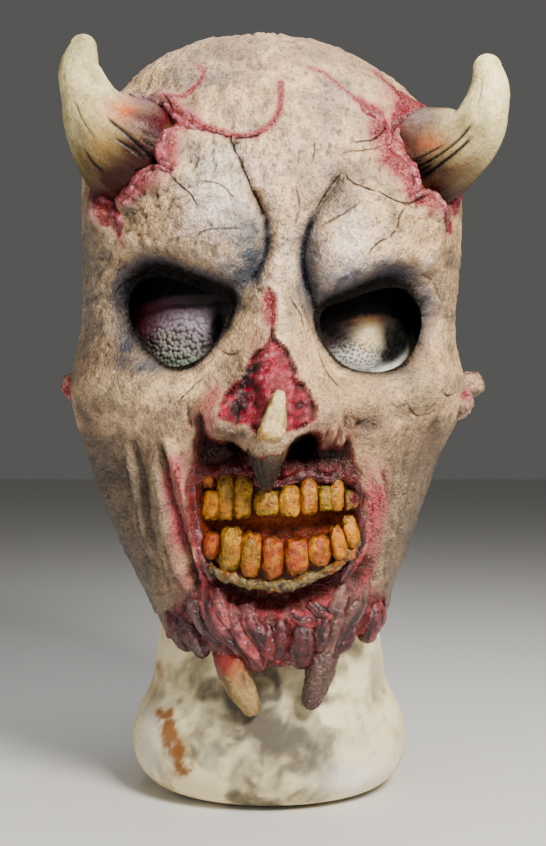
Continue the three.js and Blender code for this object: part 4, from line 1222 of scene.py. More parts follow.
class Skin:
    """The mask's latex skin: outside, ragged hem and inside in one closed sheet, with both eye holes cut."""

    columns = 318
    crown_rows = 58
    wall_rows = 206
    lining_rows = 22
    hem = KnotCurve((
        (-180, 100), (-110, 98), (-80, 95), (-58, 91), (-44, 83), (-33, 78), (-24, 81), (-14, 78), (-5, 72),
        (9, 74), (17, 80), (30, 84), (44, 87), (55, 92), (75, 95), (110, 98), (180, 100)))
    inner = SkullForm(rise=88.0, inset=4.0, face_inset=6.0)
    outer_side = 1
    inner_side = 2
    cut_y = (-125.0, -42.0)

    def __init__(self, face: Face) -> None:
        """Keeps the face's maps.

        Args:
            face: the maps.
        """
        self.face = face

    def angles(self) -> Array:
        """Directions of the columns, packed towards the face: the inverse of the sum of a density."""
        fine = np.linspace(-np.pi, np.pi, 4001)
        density = 0.17 + 0.83 * (1 - smooth_step(np.abs(fine), np.radians(76), np.radians(112)))
        total = np.concatenate([[0], np.cumsum(0.5 * (density[1:] + density[:-1]))])
        wanted = np.arange(self.columns) / self.columns * total[-1]
        return np.interp(wanted, total, fine)

    def heights(self, angle: Array, form: SkullForm, crown_rows: int, wall_rows: int) -> Array:
        """Heights of the rows, from just under the crown to the hem.

        Args:
            angle: the columns' directions.
            form: the form they lie on.
            crown_rows: rows over the dome.
            wall_rows: rows below it.

        Returns:
            A height for each row and column.
        """
        dome = np.broadcast_to(form.dome_heights(crown_rows)[:, None], (crown_rows, len(angle)))
        round_hem = np.stack([34 * angle, 0 * angle], axis=-1)
        ragged = 1.2 * np.sin(23 * angle) + 1.6 * smooth_noise(round_hem, 3.0, 97)
        bottom = self.hem(np.degrees(angle)) + ragged
        down = (np.arange(wall_rows) + 1) / wall_rows
        return np.concatenate([dome, lerp(form.dome_z, bottom[None, :], down[:, None])])

    def outside(self) -> tuple[Array, Array, Array]:
        """The carved outside: the plain form pushed out along its normal by the face's relief.

        Returns:
            The points, the plain front-view places they came from, and how far each faces forward.
        """
        angle = self.angles()
        z = self.heights(angle, SKULL, self.crown_rows, self.wall_rows)
        plain = SKULL.point(np.broadcast_to(angle, z.shape), z)
        normal = grid_normals(plain)
        facing = smooth_step(np.cos(angle), -0.1, 0.35)[None, :] * np.ones(z.shape)
        relief = self.face.board.sample(self.face.height, plain[..., 0], plain[..., 2])
        rough = 0.9 * fractal(plain, 30.0, 101) + 0.35 * fractal(plain, 7.0, 103)
        out = relief * facing + rough * (1 - facing) + 2.6 * self._root_band(plain, 3.4)
        return plain + normal * out[..., None], plain[..., [0, 2]], facing

    def inside(self) -> Array:
        """The plainer inside, which follows the broad forms alone, from the hem up to the crown."""
        angle = self.angles()
        z = self.heights(angle, self.inner, 8, self.lining_rows)[::-1]
        plain = self.inner.point(np.broadcast_to(angle, z.shape), z)
        facing = smooth_step(np.cos(angle), -0.1, 0.35)
        lining = self.face.board.sample(self.face.lining, plain[..., 0], plain[..., 2])
        outward = plain * np.array([1, 1, 0])
        outward /= np.linalg.norm(outward, axis=-1, keepdims=True) + 1e-9
        return plain + outward * (lining * facing)[..., None]

    def _root_band(self, points: Array, wide: float) -> Array:
        """A band of torn skin behind each horn's root, where the distance from its axis meets its radius.

        Args:
            points: places on the skin.
            wide: the band's half width.

        Returns:
            The band's strength, from 0 to 1.
        """
        band = np.zeros(points.shape[:-1])
        ragged = wide * (1 + 0.9 * fractal(points, 7.0, 353))
        for horn in (LEFT_HORN, RIGHT_HORN):
            root, second = np.array(horn.path[:2], float)
            axis = (second - root)[:3]
            reach = np.linalg.norm(axis)
            away = points - root[:3]
            along = away @ (axis / reach)
            apart = np.linalg.norm(away - along[..., None] * axis / reach, axis=-1)
            gap = apart - np.interp(along, [0, reach], [root[3], second[3]]) - 1.5
            band = np.maximum(band, bell(gap / ragged) * smooth_step(along, -30, -12))
        return band * smooth_step(points[..., 1], -64, -48)

    def build(self) -> bpy.types.Object:
        """Builds and paints the skin.

        Returns:
            The piece.
        """
        outer, place, facing = self.outside()
        inner = self.inside()
        edge = (0.5 * (outer[-1] + inner[0]) - [0, 0, 0.8])[None]
        grid = np.concatenate([outer, edge, inner])
        rows, columns = grid.shape[:2]
        points = np.concatenate([grid.reshape(-1, 3), [SKULL.crown(), self.inner.crown()]])
        piece = make_piece("mask_skin", points, grid_faces(rows, columns))
        known = np.zeros((len(points), 4))
        seen, lined = len(outer) * columns, (len(outer) + 1) * columns
        known[:seen] = np.column_stack([place.reshape(-1, 2), facing.ravel(), np.full(seen, self.outer_side)])
        known[seen:lined] = known[seen - columns:seen]
        known[lined:-2, :2] = inner[..., [0, 2]].reshape(-1, 2)
        known[lined:-2, 2] = np.broadcast_to(facing[0], inner.shape[:2]).ravel()
        known[lined:-2, 3] = self.inner_side
        known[-2] = (SKULL.lean, SKULL.dome_z + SKULL.rise, 1, self.outer_side)
        for hole, outline in enumerate(self.face.eyes):
            known = self._cut(piece, known, outline, hole)
        self._paint(piece, known)
        return piece

    def _cut(self, piece: bpy.types.Object, known: Array, outline: Points, hole: int) -> Array:
        """Cuts one eye hole right through, and finds again what is known of each vertex.

        Args:
            piece: the skin.
            known: for each vertex, its front-view place, its facing and its side.
            outline: the hole's outline in front view.
            hole: its number, which names the cutter.

        Returns:
            The same values for the vertices of the cut mesh.
        """
        ring = smooth_path(outline, closed=True, steps=6)
        middle = ring.mean(axis=0)
        flat = [np.insert(ring, 1, y, axis=1) for y in self.cut_y]
        points = np.concatenate([*flat, [np.insert(middle, 1, y) for y in self.cut_y]])
        cutter = make_piece(f"eye_cutter_{hole}", points, grid_faces(2, len(ring)))
        before = vertex_places(piece.data)
        cut = piece.modifiers.new("eye", "BOOLEAN")
        cut.operation, cut.object, cut.solver = "DIFFERENCE", cutter, "EXACT"
        evaluated = piece.evaluated_get(bpy.context.evaluated_depsgraph_get())
        mesh = bpy.data.meshes.new_from_object(evaluated)
        piece.modifiers.clear()
        old = piece.data
        piece.data = mesh
        bpy.data.meshes.remove(old)
        bpy.data.objects.remove(cutter)
        after = vertex_places(mesh)
        return known[nearest_rows(after, before, middle)]

    def _paint(self, piece: bpy.types.Object, known: Array) -> None:
        """Paints the skin from the face's maps in front, and more plainly elsewhere.

        Args:
            piece: the skin.
            known: for each vertex, its front-view place, its facing and its side.
        """
        face, board = self.face, self.face.board
        spots = vertex_places(piece.data)
        x, z, facing, side = known.T
        blotch = fractal(spots, 16.0, 107, 4)
        share = smooth_step(facing + 0.5 * blotch * (1 - facing), 0.05, 1.0)
        # Darker towards the bottom and on the lower sides, fading towards the back: partly painted shade.
        low = smooth_step(150 - spots[:, 2], 0, 60)
        jaw = smooth_step(200 - spots[:, 2], 0, 35) * smooth_step(45 - spots[:, 1] + 30 * blotch, 0, 55)
        tint = coats("c6ab88", ("8d765f", smooth_step(blotch, -0.35, 0.5)), ("6a5a4b", 0.5 * low),
                     ("45392f", 0.75 * jaw), (board.sample(face.tint, x, z), share))
        lining = side == self.inner_side
        tint[lining] = linear("b9a37c")
        front = np.where(lining, 0, share)
        torn = np.where(lining, 0, self._root_band(spots, 6.0))
        blood = np.maximum(board.sample(face.blood, x, z) * front, 0.95 * smooth_step(torn, 0.15, 0.8))
        paint = Paint(tint, wet=np.maximum(board.sample(face.wet, x, z) * front, 0.5 * torn), blood=blood,
                      soot_and_shade=board.sample(face.soot_and_shade, x, z) * share, crack=board.sample(face.crack, x, z),
                      crack_strength=board.sample(face.crack_strength, x, z) * front)
        finish_piece(piece, paint, LATEX)
        piece.data.set_sharp_from_angle(angle=np.radians(50))


def vertex_places(mesh: bpy.types.Mesh) -> Array:
    """A mesh's vertices in millimetres, one per row."""
    places = np.zeros(len(mesh.vertices) * 3)
    mesh.vertices.foreach_get("co", places)
    return places.reshape(-1, 3) / MM


def nearest_rows(wanted: Array, given: Array, middle: Array) -> Array:
    """For each wanted point, the number of the given point that is the same or, near a cut, the nearest.

    Args:
        wanted: points to look up.
        given: points to find.
        middle: the cut's middle in front view. New points lie round it.

    Returns:
        Row numbers in given.
    """
    def keys(points: Array) -> Array:
        """Whole numbers that tell points apart to a thousandth of a millimetre."""
        whole = np.round(points * 1000).astype(np.int64)
        return (whole[:, 0] * 1000003 + whole[:, 1]) * 1000003 + whole[:, 2]

    given_keys = keys(given)
    order = np.argsort(given_keys)
    found = np.clip(np.searchsorted(given_keys[order], keys(wanted)), 0, len(order) - 1)
    rows = order[found]
    fresh = np.flatnonzero(np.abs(given[rows] - wanted).max(axis=1) > 0.01)
    close = np.flatnonzero(np.hypot(given[:, 0] - middle[0], given[:, 2] - middle[1]) < 60)
    for block in np.array_split(fresh, max(len(fresh) // 200, 1)):
        gaps = np.linalg.norm(wanted[block][:, None] - given[close][None], axis=-1)
        rows[block] = close[gaps.argmin(axis=1)]
    return rows


@dataclass(frozen=True)
class Bar:
    """A round solid swept along a curve, rounded at its far end."""

    path: Points
    around: int = 24
    along: int = 40
    cap: int = 6

    def surface(self) -> tuple[Array, Array, Array, Array]:
        """Sweeps a circle of changing radius along the curve.

        Returns:
            The points, their outward normals, the turn round the bar and the share along it.
        """
        line = smooth_path(self.path, steps=16)
        step = np.linalg.norm(np.diff(line[:, :3], axis=0), axis=1)
        length = np.concatenate([[0], np.cumsum(step)])
        along = np.linspace(0, 1, self.along)
        middle = np.stack([np.interp(along * length[-1], length, line[:, i]) for i in range(4)], axis=-1)
        tangent = np.gradient(middle[:, :3], axis=0)
        tangent /= np.linalg.norm(tangent, axis=1, keepdims=True)
        end = np.linspace(0, np.pi / 2, self.cap + 1)[1:-1]
        radius = middle[-1, 3]
        cap_middle = middle[-1, :3] + tangent[-1] * radius * np.sin(end)[:, None]
        centre = np.concatenate([middle[:, :3], cap_middle])
        tangent = np.concatenate([tangent, np.repeat(tangent[-1:], len(end), axis=0)])
        radius = np.concatenate([middle[:, 3], radius * np.cos(end)])
        across = np.cross(tangent, [0, 1, 0])
        across /= np.linalg.norm(across, axis=1, keepdims=True)
        up = np.cross(across, tangent)
        share, turn = np.meshgrid(np.concatenate([along, np.full(len(end), 1.0)]), even_turns(self.around),
                                  indexing="ij")
        ring = across[:, None] * np.cos(turn)[..., None] + up[:, None] * np.sin(turn)[..., None]
        return centre[:, None] + ring * radius[:, None, None], ring, turn, share

    def ends(self) -> Array:
        """The two poles that close the bar."""
        path = np.array(self.path, float)
        tip = path[-1, :3] - path[-2, :3]
        tip /= np.linalg.norm(tip)
        return np.stack([path[0, :3], path[-1, :3] + tip * path[-1, 3]])


def even_turns(count: int) -> Array:
    """Directions at even steps once round, in radians."""
    return np.arange(count) / count * 2 * np.pi


def fibre_places(turn: Array, share: Array, radius: float, length: float, start: float = 0.0) -> Array:
    """Places on a cylinder that stands for a bar, where a noise makes fibres drawn out along it.

    Args:
        turn: the turn round the bar.
        share: the share along it.
        radius: the cylinder's radius.
        length: its length, shorter than the bar by as much as the fibres are drawn out.
        start: its start, which varies the noise.

    Returns:
        Places for the noise.
    """
    return np.stack([radius * np.cos(turn), radius * np.sin(turn), length * share + start], axis=-1)


def with_poles(values: Array, *poles: float) -> Array:
    """A grid's values in one row, then those of its two poles, which take the nearest value unless given."""
    row = values.ravel()
    return np.concatenate([row, poles or row[[0, -1]]])


def leaned(points: Array, degrees: float) -> Array:
    """Points turned about the view's direction, clockwise as seen from in front."""
    across, up = points[:, 0], points[:, 2]
    cos, sin = np.cos(np.radians(degrees)), np.sin(np.radians(degrees))
    return np.stack([across * cos + up * sin, points[:, 1], up * cos - across * sin], axis=-1)


def squared_ball(rows: int, columns: int, around: tuple[float, float] = (1, 1),
                 up: tuple[float, float] = (1, 1)) -> Array:
    """A unit sphere made blocky: the sines and cosines of its two angles are raised to powers.

    Args:
        rows: rows between its poles.
        columns: points in each row.
        around: powers of the cosine and the sine of the turn.
        up: powers of the cosine and the sine of the rise.

    Returns:
        Its points, row by row, with the two poles last.
    """
    def power(value: Array, exponent: float) -> Array:
        """A power that keeps the sign."""
        return np.sign(value) * np.abs(value) ** exponent

    rises = np.linspace(np.pi / 2, -np.pi / 2, rows + 2)[1:-1]
    rise, turn = np.meshgrid(rises, even_turns(columns), indexing="ij")
    girth = power(np.cos(rise), up[0])
    ball = np.stack([girth * power(np.cos(turn), around[0]), girth * power(np.sin(turn), around[1]),
                     power(np.sin(rise), up[1])], axis=-1)
    return np.concatenate([ball.reshape(-1, 3), [[0, 0, 1], [0, 0, -1]]])


def bar_piece(name: str, bar: Bar, out: Array) -> tuple[bpy.types.Object, Array]:
    """Makes a piece from a bar whose surface is pushed outwards.

    Args:
        name: the piece's name.
        bar: the bar.
        out: how far each point of its surface is pushed out.

    Returns:
        The piece, and its vertices with the two poles last.
    """
    points, normal, _, _ = bar.surface()
    grid = points + normal * out[..., None]
    rows, columns = grid.shape[:2]
    ends = bar.ends()
    ends[1] = lerp(grid[-1].mean(axis=0), ends[1], 0.6)
    vertices = np.concatenate([grid.reshape(-1, 3), ends])
    return make_piece(name, vertices, grid_faces(rows, columns)), vertices


@dataclass(frozen=True)
class Horn:
    """A horn: a tapering, bent bar with drawn-out grooves, pale at its point and dark at its root."""

    name: str
    path: Points
    grooves: tuple[Line, ...]
    sprays: tuple[Spray, ...]
    shades: tuple[Mound, ...]
    seam: Points

    def build(self) -> bpy.types.Object:
        """Builds and paints the horn.

        Returns:
            The piece.
        """
        bar = Bar(self.path, around=200, along=196, cap=14)
        points, normal, turn, share = bar.surface()
        fibres = fractal(fibre_places(turn, share, 9, 22), 2.2, 127)
        root = 1 - smooth_step(share, 0.15, 0.6)
        facing = smooth_step(-normal[..., 1], -0.1, 0.4)
        seen = smooth_step(-normal[..., 1], -0.6, 0.1)
        flat = points[..., [0, 2]]
        groove = np.zeros(share.shape)
        for line in self.grooves:
            groove = np.maximum(groove, line.profile(flat, -0.5, 6) * facing)
        beyond, _, _ = path_measure(smooth_path(self.seam), flat)
        out = 0.9 * fractal(points, 16, 113) + (0.25 + 0.5 * root) * fibres
        out -= 0.9 * groove + 16 * smooth_step(beyond, -0.5, 3.0) * facing
        piece, vertices = bar_piece(self.name, bar, out)
        x, z = vertices[:, 0], vertices[:, 2]
        fields = (share, groove, seen, root, fibres)
        share, groove, seen, root, fibres = (with_poles(values) for values in fields)
        tint = coats("6d5c3e", ("f4e3b4", smooth_step(share, 0.3, 0.9)),
                     ("645d3a", 0.5 * smooth_step(fractal(vertices, 12, 131), -0.2, 0.5)),
                     ("33251a", 0.6 * (1 - smooth_step(share, 0.2, 0.6))))
        # The near-black laid in the grooves is painted shade; the grooves and the shades also feed the black
        # cover, which dulls the shine there.
        tint = coats(tint, *(spray.layer(x, z, seen * (0.9 + 0.6 * fibres)) for spray in self.sprays),
                     ("090402", 0.95 * np.clip(1.3 * groove, 0, 1)),
                     ("1c100b", 0.45 * root * smooth_step(fibres, 0.05, 0.45)))
        soot_and_shade = sum(shade.relief(x, z) for shade in self.shades) * seen * (0.9 + 0.5 * fibres)
        soot_and_shade = np.clip(soot_and_shade + 0.5 * smooth_step(groove, 0.35, 0.8), 0, 1)
        return finish_piece(piece, Paint(tint, wet=0.3 - 0.25 * root, soot_and_shade=soot_and_shade), HORN)


LEFT_HORN = Horn(
    "left_horn",
    ((-54, -56, 313, 27), (-69, -79, 321.5, 25.5), (-79.5, -89, 332, 18), (-84.8, -92, 342.5, 12.4),
        (-88, -92, 354, 9.4), (-86.5, -90, 364.5, 6.4)),
    each(Line, (((-75, 330), (-70, 325.5), (-65, 321.5), (-57, 314.5), (-48, 308)), 0.7, 1),
        (((-72, 321), (-67, 317.5), (-62, 314.5), (-55, 309.5)), 0.6, 0.9),
        (((-86, 317), (-81, 309.5), (-74, 304)), 0.55, 0.9),
        (((-90, 338), (-84, 326), (-78, 318)), 0.45, 0.5), (((-60, 321), (-54, 317.5), (-49, 315)), 0.6, 0.8),
        (((-62, 326), (-55, 322), (-50, 320)), 0.5, 0.7), (((-66, 308), (-60, 305), (-56, 304)), 0.5, 0.7)),
    each(Spray, ("c8bd8e", -82, 332, 9, 16, 0.4), ("6d573a", -84, 310, 9, 8, 0.8),
        ("94683f", -76, 318, 6, 6, 0.6), ("c98c70", -67, 333, 9, 7, 0.9), ("c2704c", -65, 332, 5, 4, 0.8),
        ("7d5550", -57, 341, 9, 5, 1.1), ("5c3534", -60, 328, 7, 7, 0.9), ("360f0a", -71, 301, 12, 9, 1.4),
        ("33110c", -58, 314, 11, 10, 1.3), ("380a12", -52, 327, 7, 10, 1.4), ("4a1c22", -47, 336, 6, 8, 1.3),
        ("220a07", -60, 306, 13, 6, 1.3)),
    each(Mound, (-59, 316, 8, 6, 0.5), (-51, 309, 5, 6, 0.5), (-68, 298, 9, 4, 0.35), (-45, 330, 3, 8, 0.35),
        (-53, 328, 6, 8, 0.35), (-76, 303, 8, 5, 0.2), (-60, 342, 9, 2.5, 0.3)),
    ((-56, 352), (-50, 342), (-45, 334), (-41.7, 328), (-46.7, 324.2), (-49.5, 319), (-50.4, 313),
        (-46.7, 308), (-45, 305), (-49.5, 306.6), (-60.2, 306), (-67.6, 295), (-70, 285), (-70, 270)))
RIGHT_HORN = Horn(
    "right_horn",
    ((68, -46, 317, 28), (86, -72, 321, 20.5), (96.5, -83, 326.5, 13.8), (101.5, -86, 337, 10.8),
        (103.4, -86, 347, 9.1), (102.4, -85, 356, 6.8)),
    each(Line, (((66, 303.5), (73, 306), (81, 311), (89, 317), (95, 323)), 0.8, 1),
        (((65, 309), (72, 311), (80, 315), (88, 321), (95, 329)), 0.6, 1),
        (((64, 313), (70, 314), (77, 317), (83, 320)), 0.5, 0.9),
        (((66, 306), (72, 308.5), (78, 312)), 0.6, 0.9), (((96, 334), (98, 342), (99, 350)), 0.4, 0.5),
        (((64, 311), (69, 312.5), (75, 314)), 0.5, 0.8)),
    each(Spray, ("bfae8d", 84, 322, 12, 6, 0.4), ("130806", 67, 308, 9, 6, 1.2),
        ("2c1b14", 77, 308, 12, 5, 1), ("54403a", 66, 322, 11, 12, 1.1), ("7d635a", 69, 334, 10, 8, 1),
        ("33140f", 79, 298, 15, 8, 1.4), ("6a5238", 92, 309, 9, 5, 0.6), ("4a1a20", 61, 322, 4, 9, 0.9),
        ("b0604e", 77, 321, 7, 4, 0.7)),
    each(Mound, (80, 298, 15, 5, 0.55), (68, 307, 8, 5, 0.7), (60, 322, 4, 9, 0.4), (76, 309, 9, 4, 0.4),
        (88, 308, 9, 5, 0.2), (66, 332, 5, 6, 0.25)),
    ((84, 270), (84, 285), (80, 293), (74, 297), (67.5, 295), (68.5, 301), (67.5, 307), (64, 312.5),
        (58, 317), (56.5, 323), (57.5, 327), (60, 332), (66, 337), (72, 345)))


@dataclass(frozen=True)
class Tooth:
    """One tooth in front view: its middle, size, lean in degrees and colour."""

    x: float
    z: float
    wide: float
    tall: float
    lean: float
    colour: str


@dataclass(frozen=True)
class ToothRow:
    """A row of teeth on its jaw, which bends back to both sides."""

    name: str
    y: float
    jaw: Points
    teeth: tuple[Tooth, ...]
    upper: bool
    rim: Points
    gum: tuple[str, str, str]
    middle: float = 4.5
    half: float = 41.0
    arch: float = 10.0
    behind: float = 8.0
    thick: float = 13.0
    grid: tuple[int, int] = (26, 40)

    def arch_y(self, x: Array) -> Array:
        """Where the row stands at x: a parabola that bends back to both sides."""
        return self.y + self.arch * ((x - self.middle) / self.half) ** 2

    def build(self) -> None:
        """Builds the teeth as one piece, the jaw that carries them and the gum's rim."""
        solids = [self._tooth(tooth, number) for number, tooth in enumerate(self.teeth)]
        points = np.concatenate([solid[0] for solid in solids])
        tint = np.concatenate([solid[1] for solid in solids])
        size = len(solids[0][0])
        faces = [np.concatenate([face + size * number for number in range(len(solids))])
                 for face in grid_faces(*self.grid)]
        finish_piece(make_piece(f"{self.name}_teeth", points, faces), Paint(tint, wet=0.3), ENAMEL)
        self._jaw()
        self._rim()

    def _tooth(self, tooth: Tooth, number: int) -> tuple[Array, Array]:
        """One tooth: a rounded block, narrower at its neck, with pits and chips.

        Args:
            tooth: its sizes.
            number: its place in the row, which varies its noise.

        Returns:
            Its points and its colours.
        """
        unit = squared_ball(*self.grid, around=(0.72, 0.8), up=(0.62, 0.72))
        neck = unit[:, 2] if self.upper else -unit[:, 2]
        narrow = 1 - 0.16 * smooth_step(neck, 0.1, 1) - 0.03 * smooth_step(-neck, 0.5, 1)
        waist = np.stack([narrow, 1 - 0.12 * smooth_step(neck, 0, 1), np.ones_like(narrow)], axis=-1)
        local = unit * np.array([0.53 * tooth.wide, self.thick / 2, tooth.tall / 2]) * waist
        places = local + np.array([37.0 * number, 0, 0])
        normal = unit / np.linalg.norm(unit, axis=1, keepdims=True)
        pits = bell(cell_distances(places, 2.8, 137)[0] / 0.2)
        biting = smooth_step(-neck, 0.3, 0.9)
        chips = smooth_step(smooth_noise(places * [1, 0.5, 1], 3.4, 147), 0.25, 0.7) * biting
        ridged = fractal(places * [1, 1, 0.25], 1.8, 145)
        dent = fractal(places, 5.5, 139) + (0.5 + 0.6 * biting) * fractal(places, 2.2, 149) - 0.5 * pits
        dent += 0.35 * ridged - 1.7 * chips
        points = leaned(local + normal * dent[:, None], tooth.lean)
        points[:, 1] += 2 * self.arch * (tooth.x - self.middle) / self.half ** 2 * points[:, 0]
        points += [tooth.x, self.arch_y(tooth.x), tooth.z]
        # Pale spots away from the edges are painted highlights, and the dark edges, where the faces turn
        # away, are painted shade.
        edge = smooth_step(np.maximum(np.abs(unit[:, 0]) ** 3, np.abs(unit[:, 2]) ** 4), 0.5, 1.0)
        tint = coats(
            linear(tooth.colour) ** 1.35, ("b85a1e", 0.4 * smooth_step(fractal(places, 7.0, 151), 0.05, 0.5)),
            ("635c22", 0.6 * smooth_step(fractal(places, 6.0, 157), 0.0, 0.5)),
            ("d3aa58", 0.35 * smooth_step(fractal(places, 3.0, 159), 0.1, 0.5) * (1 - edge)),
            ("33260d", 0.75 * edge), ("4a3713", 0.5 * smooth_step(neck, 0.4, 1.0)),
            ("1f1406", 0.8 * np.maximum(pits, smooth_step(-ridged, 0.35, 0.8))))
        return points, tint

    def _jaw(self) -> None:
        """The jaw behind the teeth: a lumpy bar, olive and stained between them."""
        path = [(x, self.arch_y(x) + self.behind, z, radius) for x, z, radius in self.jaw]
        bar = Bar(path, around=40, along=150)
        points, _, _, _ = bar.surface()
        out = 0.9 * fractal(points, 3.4, 163) + 0.4 * fractal(points, 1.4, 167)
        piece, vertices = bar_piece(f"{self.name}_jaw", bar, out)
        teeth_z = 146 if self.upper else 141
        tint = coats("40341d", ("6d6747", smooth_step(fractal(vertices, 4.0, 173), -0.2, 0.4)),
                     ("a4552a", 0.5 * smooth_step(fractal(vertices, 5.0, 179), 0.1, 0.5)),
                     ("571f1c", 0.85 * smooth_step(np.abs(vertices[:, 2] - teeth_z), 9, 15)))
        finish_piece(piece, Paint(tint, wet=0.6), ENAMEL)

    def _rim(self) -> None:
        """The swollen edge of the gum along the teeth's roots: a knobbly bar in three mixed colours."""
        bar = Bar([(x, self.arch_y(x) - 1.5, z, radius) for x, z, radius in self.rim], around=36, along=150)
        points, _, _, _ = bar.surface()
        out = 1.7 * fractal(points, 4.5, 311) + 0.8 * fractal(points, 1.8, 313) - 0.4
        piece, vertices = bar_piece(f"{self.name}_gum_rim", bar, out)
        main, spots, dark = self.gum
        tint = coats(main, (spots, 0.8 * smooth_step(fractal(vertices, 5.0, 317), 0.05, 0.4)),
                     (dark, 0.9 * smooth_step(fractal(vertices, 2.6, 331), 0.05, 0.5)))
        finish_piece(piece, Paint(tint, wet=0.5), ENAMEL)


UPPER_TEETH = ToothRow(
    "upper", -88, ((-34, 157, 8), (-14, 158, 8), (8, 157, 8), (27, 158, 8), (42, 155, 7)),
    each(Tooth, (-28.8, 162.8, 8.6, 9, 4, "5a2622"), (-27.6, 151, 9.4, 15, 8, "d09032"),
        (-20.1, 155.3, 9, 23, 4, "b78a3c"), (-12.2, 154.9, 9.4, 21, 5, "b98f38"),
        (-1.3, 152, 12.2, 12, 0, "ab8a33"), (9.6, 153.3, 10.6, 15.5, 0, "c99a54"),
        (18.7, 155.3, 9.2, 18, 0, "b57a3c"), (26.3, 154.4, 7.2, 12.5, 0, "b89645"),
        (31.8, 155.9, 6.8, 15.5, 0, "c48a34"), (39.3, 153.1, 8.8, 10, 0, "6a2a2a")), True,
    ((-34, 157, 2), (-25, 167, 2.6), (-13, 167.5, 2.8), (-2, 160, 2.4), (9, 162.5, 2.6), (19, 165.5, 2.6),
        (27, 162.5, 2.4), (34, 164.5, 2.4), (43, 159, 2)), ("4c2022", "74433f", "1c0808"))
LOWER_TEETH = ToothRow(
    "lower", -90, ((-30, 131, 7), (-15, 126, 8), (3, 123, 8), (24, 127, 8), (41, 136, 7)),
    each(Tooth, (-27.1, 131.5, 8, 12.5, 12, "a8500f"), (-18, 130.2, 10.8, 22, 5, "aa843c"),
        (-8.3, 127.8, 9.8, 21.5, 4, "bb7f40"), (1.7, 126.3, 10.8, 20.5, 0, "a8560e"),
        (12.7, 126.9, 11.4, 18, 0, "a84c0a"), (23.3, 129.7, 11, 15, -6, "b96d1c"),
        (32.7, 133.2, 7.8, 17.5, -10, "c98428"), (38.4, 138.6, 7.4, 16, -12, "d29430")), False,
    ((-31, 124, 1.8), (-24, 119, 2.4), (-14, 116, 2.8), (-3, 114, 2.8), (8, 114, 2.8), (19, 117, 2.8),
        (29, 121, 2.6), (37, 127, 2.4), (42, 133, 1.8)), ("6f5f3a", "8d4a1e", "2c1510"))


@dataclass(frozen=True)
class Strip:
    """A torn strip of flesh: its front-view path from top to bottom, and its radius."""

    path: Points
    radius: float
    colour: str = "a3575b"


@dataclass(frozen=True)
class Torn:
    """Torn edges of skin that lap over the horns' roots, laid on the pieces under them."""

    under: tuple[bpy.types.Object, ...]
    sunk: float = 0.55
    lips: tuple[Strip, ...] = each(Strip,
        (((-65.2, 342.7), (-59.3, 341.8), (-53.9, 341.4), (-48.9, 340)), 1.7, "553336"),
        (((-48.9, 339.6), (-44.8, 334.5), (-41.1, 330), (-35.5, 327.2), (-29.5, 325.3)), 1.7, "983f4b"),
        (((-42, 326.3), (-46.6, 324.4), (-49.4, 320.8), (-50.3, 316.1), (-49.4, 311.6), (-46.6, 308.4),
                (-44.3, 306.1)), 2.2, "a03a48"),
        (((-44.8, 305.1), (-50.3, 306.5), (-55, 306.5), (-59.6, 305.1), (-62.4, 301.4), (-65.2, 296.8),
                (-67.9, 292.2)), 2, "7d2f38"),
        (((-86.5, 298.7), (-81.8, 297.7), (-77.7, 295.9), (-74, 292.2), (-71.2, 287.5), (-69.8, 282),
                (-69.8, 277.4)), 2.5, "8f2733"),
        (((43.2, 338.5), (48.3, 334.3), (54.4, 329.6), (56.7, 324), (55.3, 319.8)), 1.6, "92303c"),
        (((55.3, 318.7), (59.5, 316.3), (64.2, 312.6), (67.5, 307), (68.4, 301.4), (66.1, 296.3)), 2.2,
            "9c3845"),
        (((67.9, 295.3), (72.6, 298.1), (77.3, 297.7), (81.5, 293.5), (84.8, 288.8), (86.2, 284.1)), 1.8,
            "96504c"),
        (((69.8, 338.5), (64.2, 335.7), (60, 331.9), (57.6, 327.3), (57.1, 321.7)), 1.5, "5d1620"))

    def build(self) -> None:
        """Builds every lip."""
        for number, lip in enumerate(self.lips):
            self._lip(lip, number)

    def _front(self, x: float, z: float) -> float:
        """How far forward the pieces under a lip reach at a front-view place, by a ray from the front."""
        graph = bpy.context.evaluated_depsgraph_get()
        rays = [piece.ray_cast((x * MM, -0.4, z * MM), (0, 1, 0), depsgraph=graph) for piece in self.under]
        return min((place[1] / MM for hit, place, _, _ in rays if hit), default=-60.0)

    def _lip(self, lip: Strip, number: int) -> None:
        """One lip: a bar with a knobbly surface, thin at both ends, that follows the pieces under it."""
        flat = smooth_path(lip.path, steps=3)
        share = np.linspace(0, 1, len(flat))
        radius = 1.25 * lip.radius * (0.3 + 0.7 * np.sin(np.pi * np.clip(share, 0.04, 0.96)) ** 0.6)
        y = np.array([self._front(x, z) for x, z in flat]) + self.sunk * radius
        y[1:-1] = 0.25 * y[:-2] + 0.5 * y[1:-1] + 0.25 * y[2:]
        bar = Bar(np.column_stack([flat[:, 0], y, flat[:, 1], radius]), around=32, along=90, cap=5)
        points, _, _, _ = bar.surface()
        lumps = fractal(points, 3.2, 301)
        piece, _ = bar_piece(f"torn_lip_{number + 1}", bar, 0.6 * lumps + 0.25 * fractal(points, 1.4, 307))
        # Lighter on the lumps as painted highlights and darker in the dips as painted shade.
        blotch = with_poles(lumps, 0, 0)
        tint = coats(lip.colour, ("b07a72", 0.45 * smooth_step(blotch, 0.15, 0.6)),
                     ("4a0d15", 0.8 * smooth_step(-blotch, 0.0, 0.45)))
        finish_piece(piece, Paint(tint, wet=0.9), FLESH)


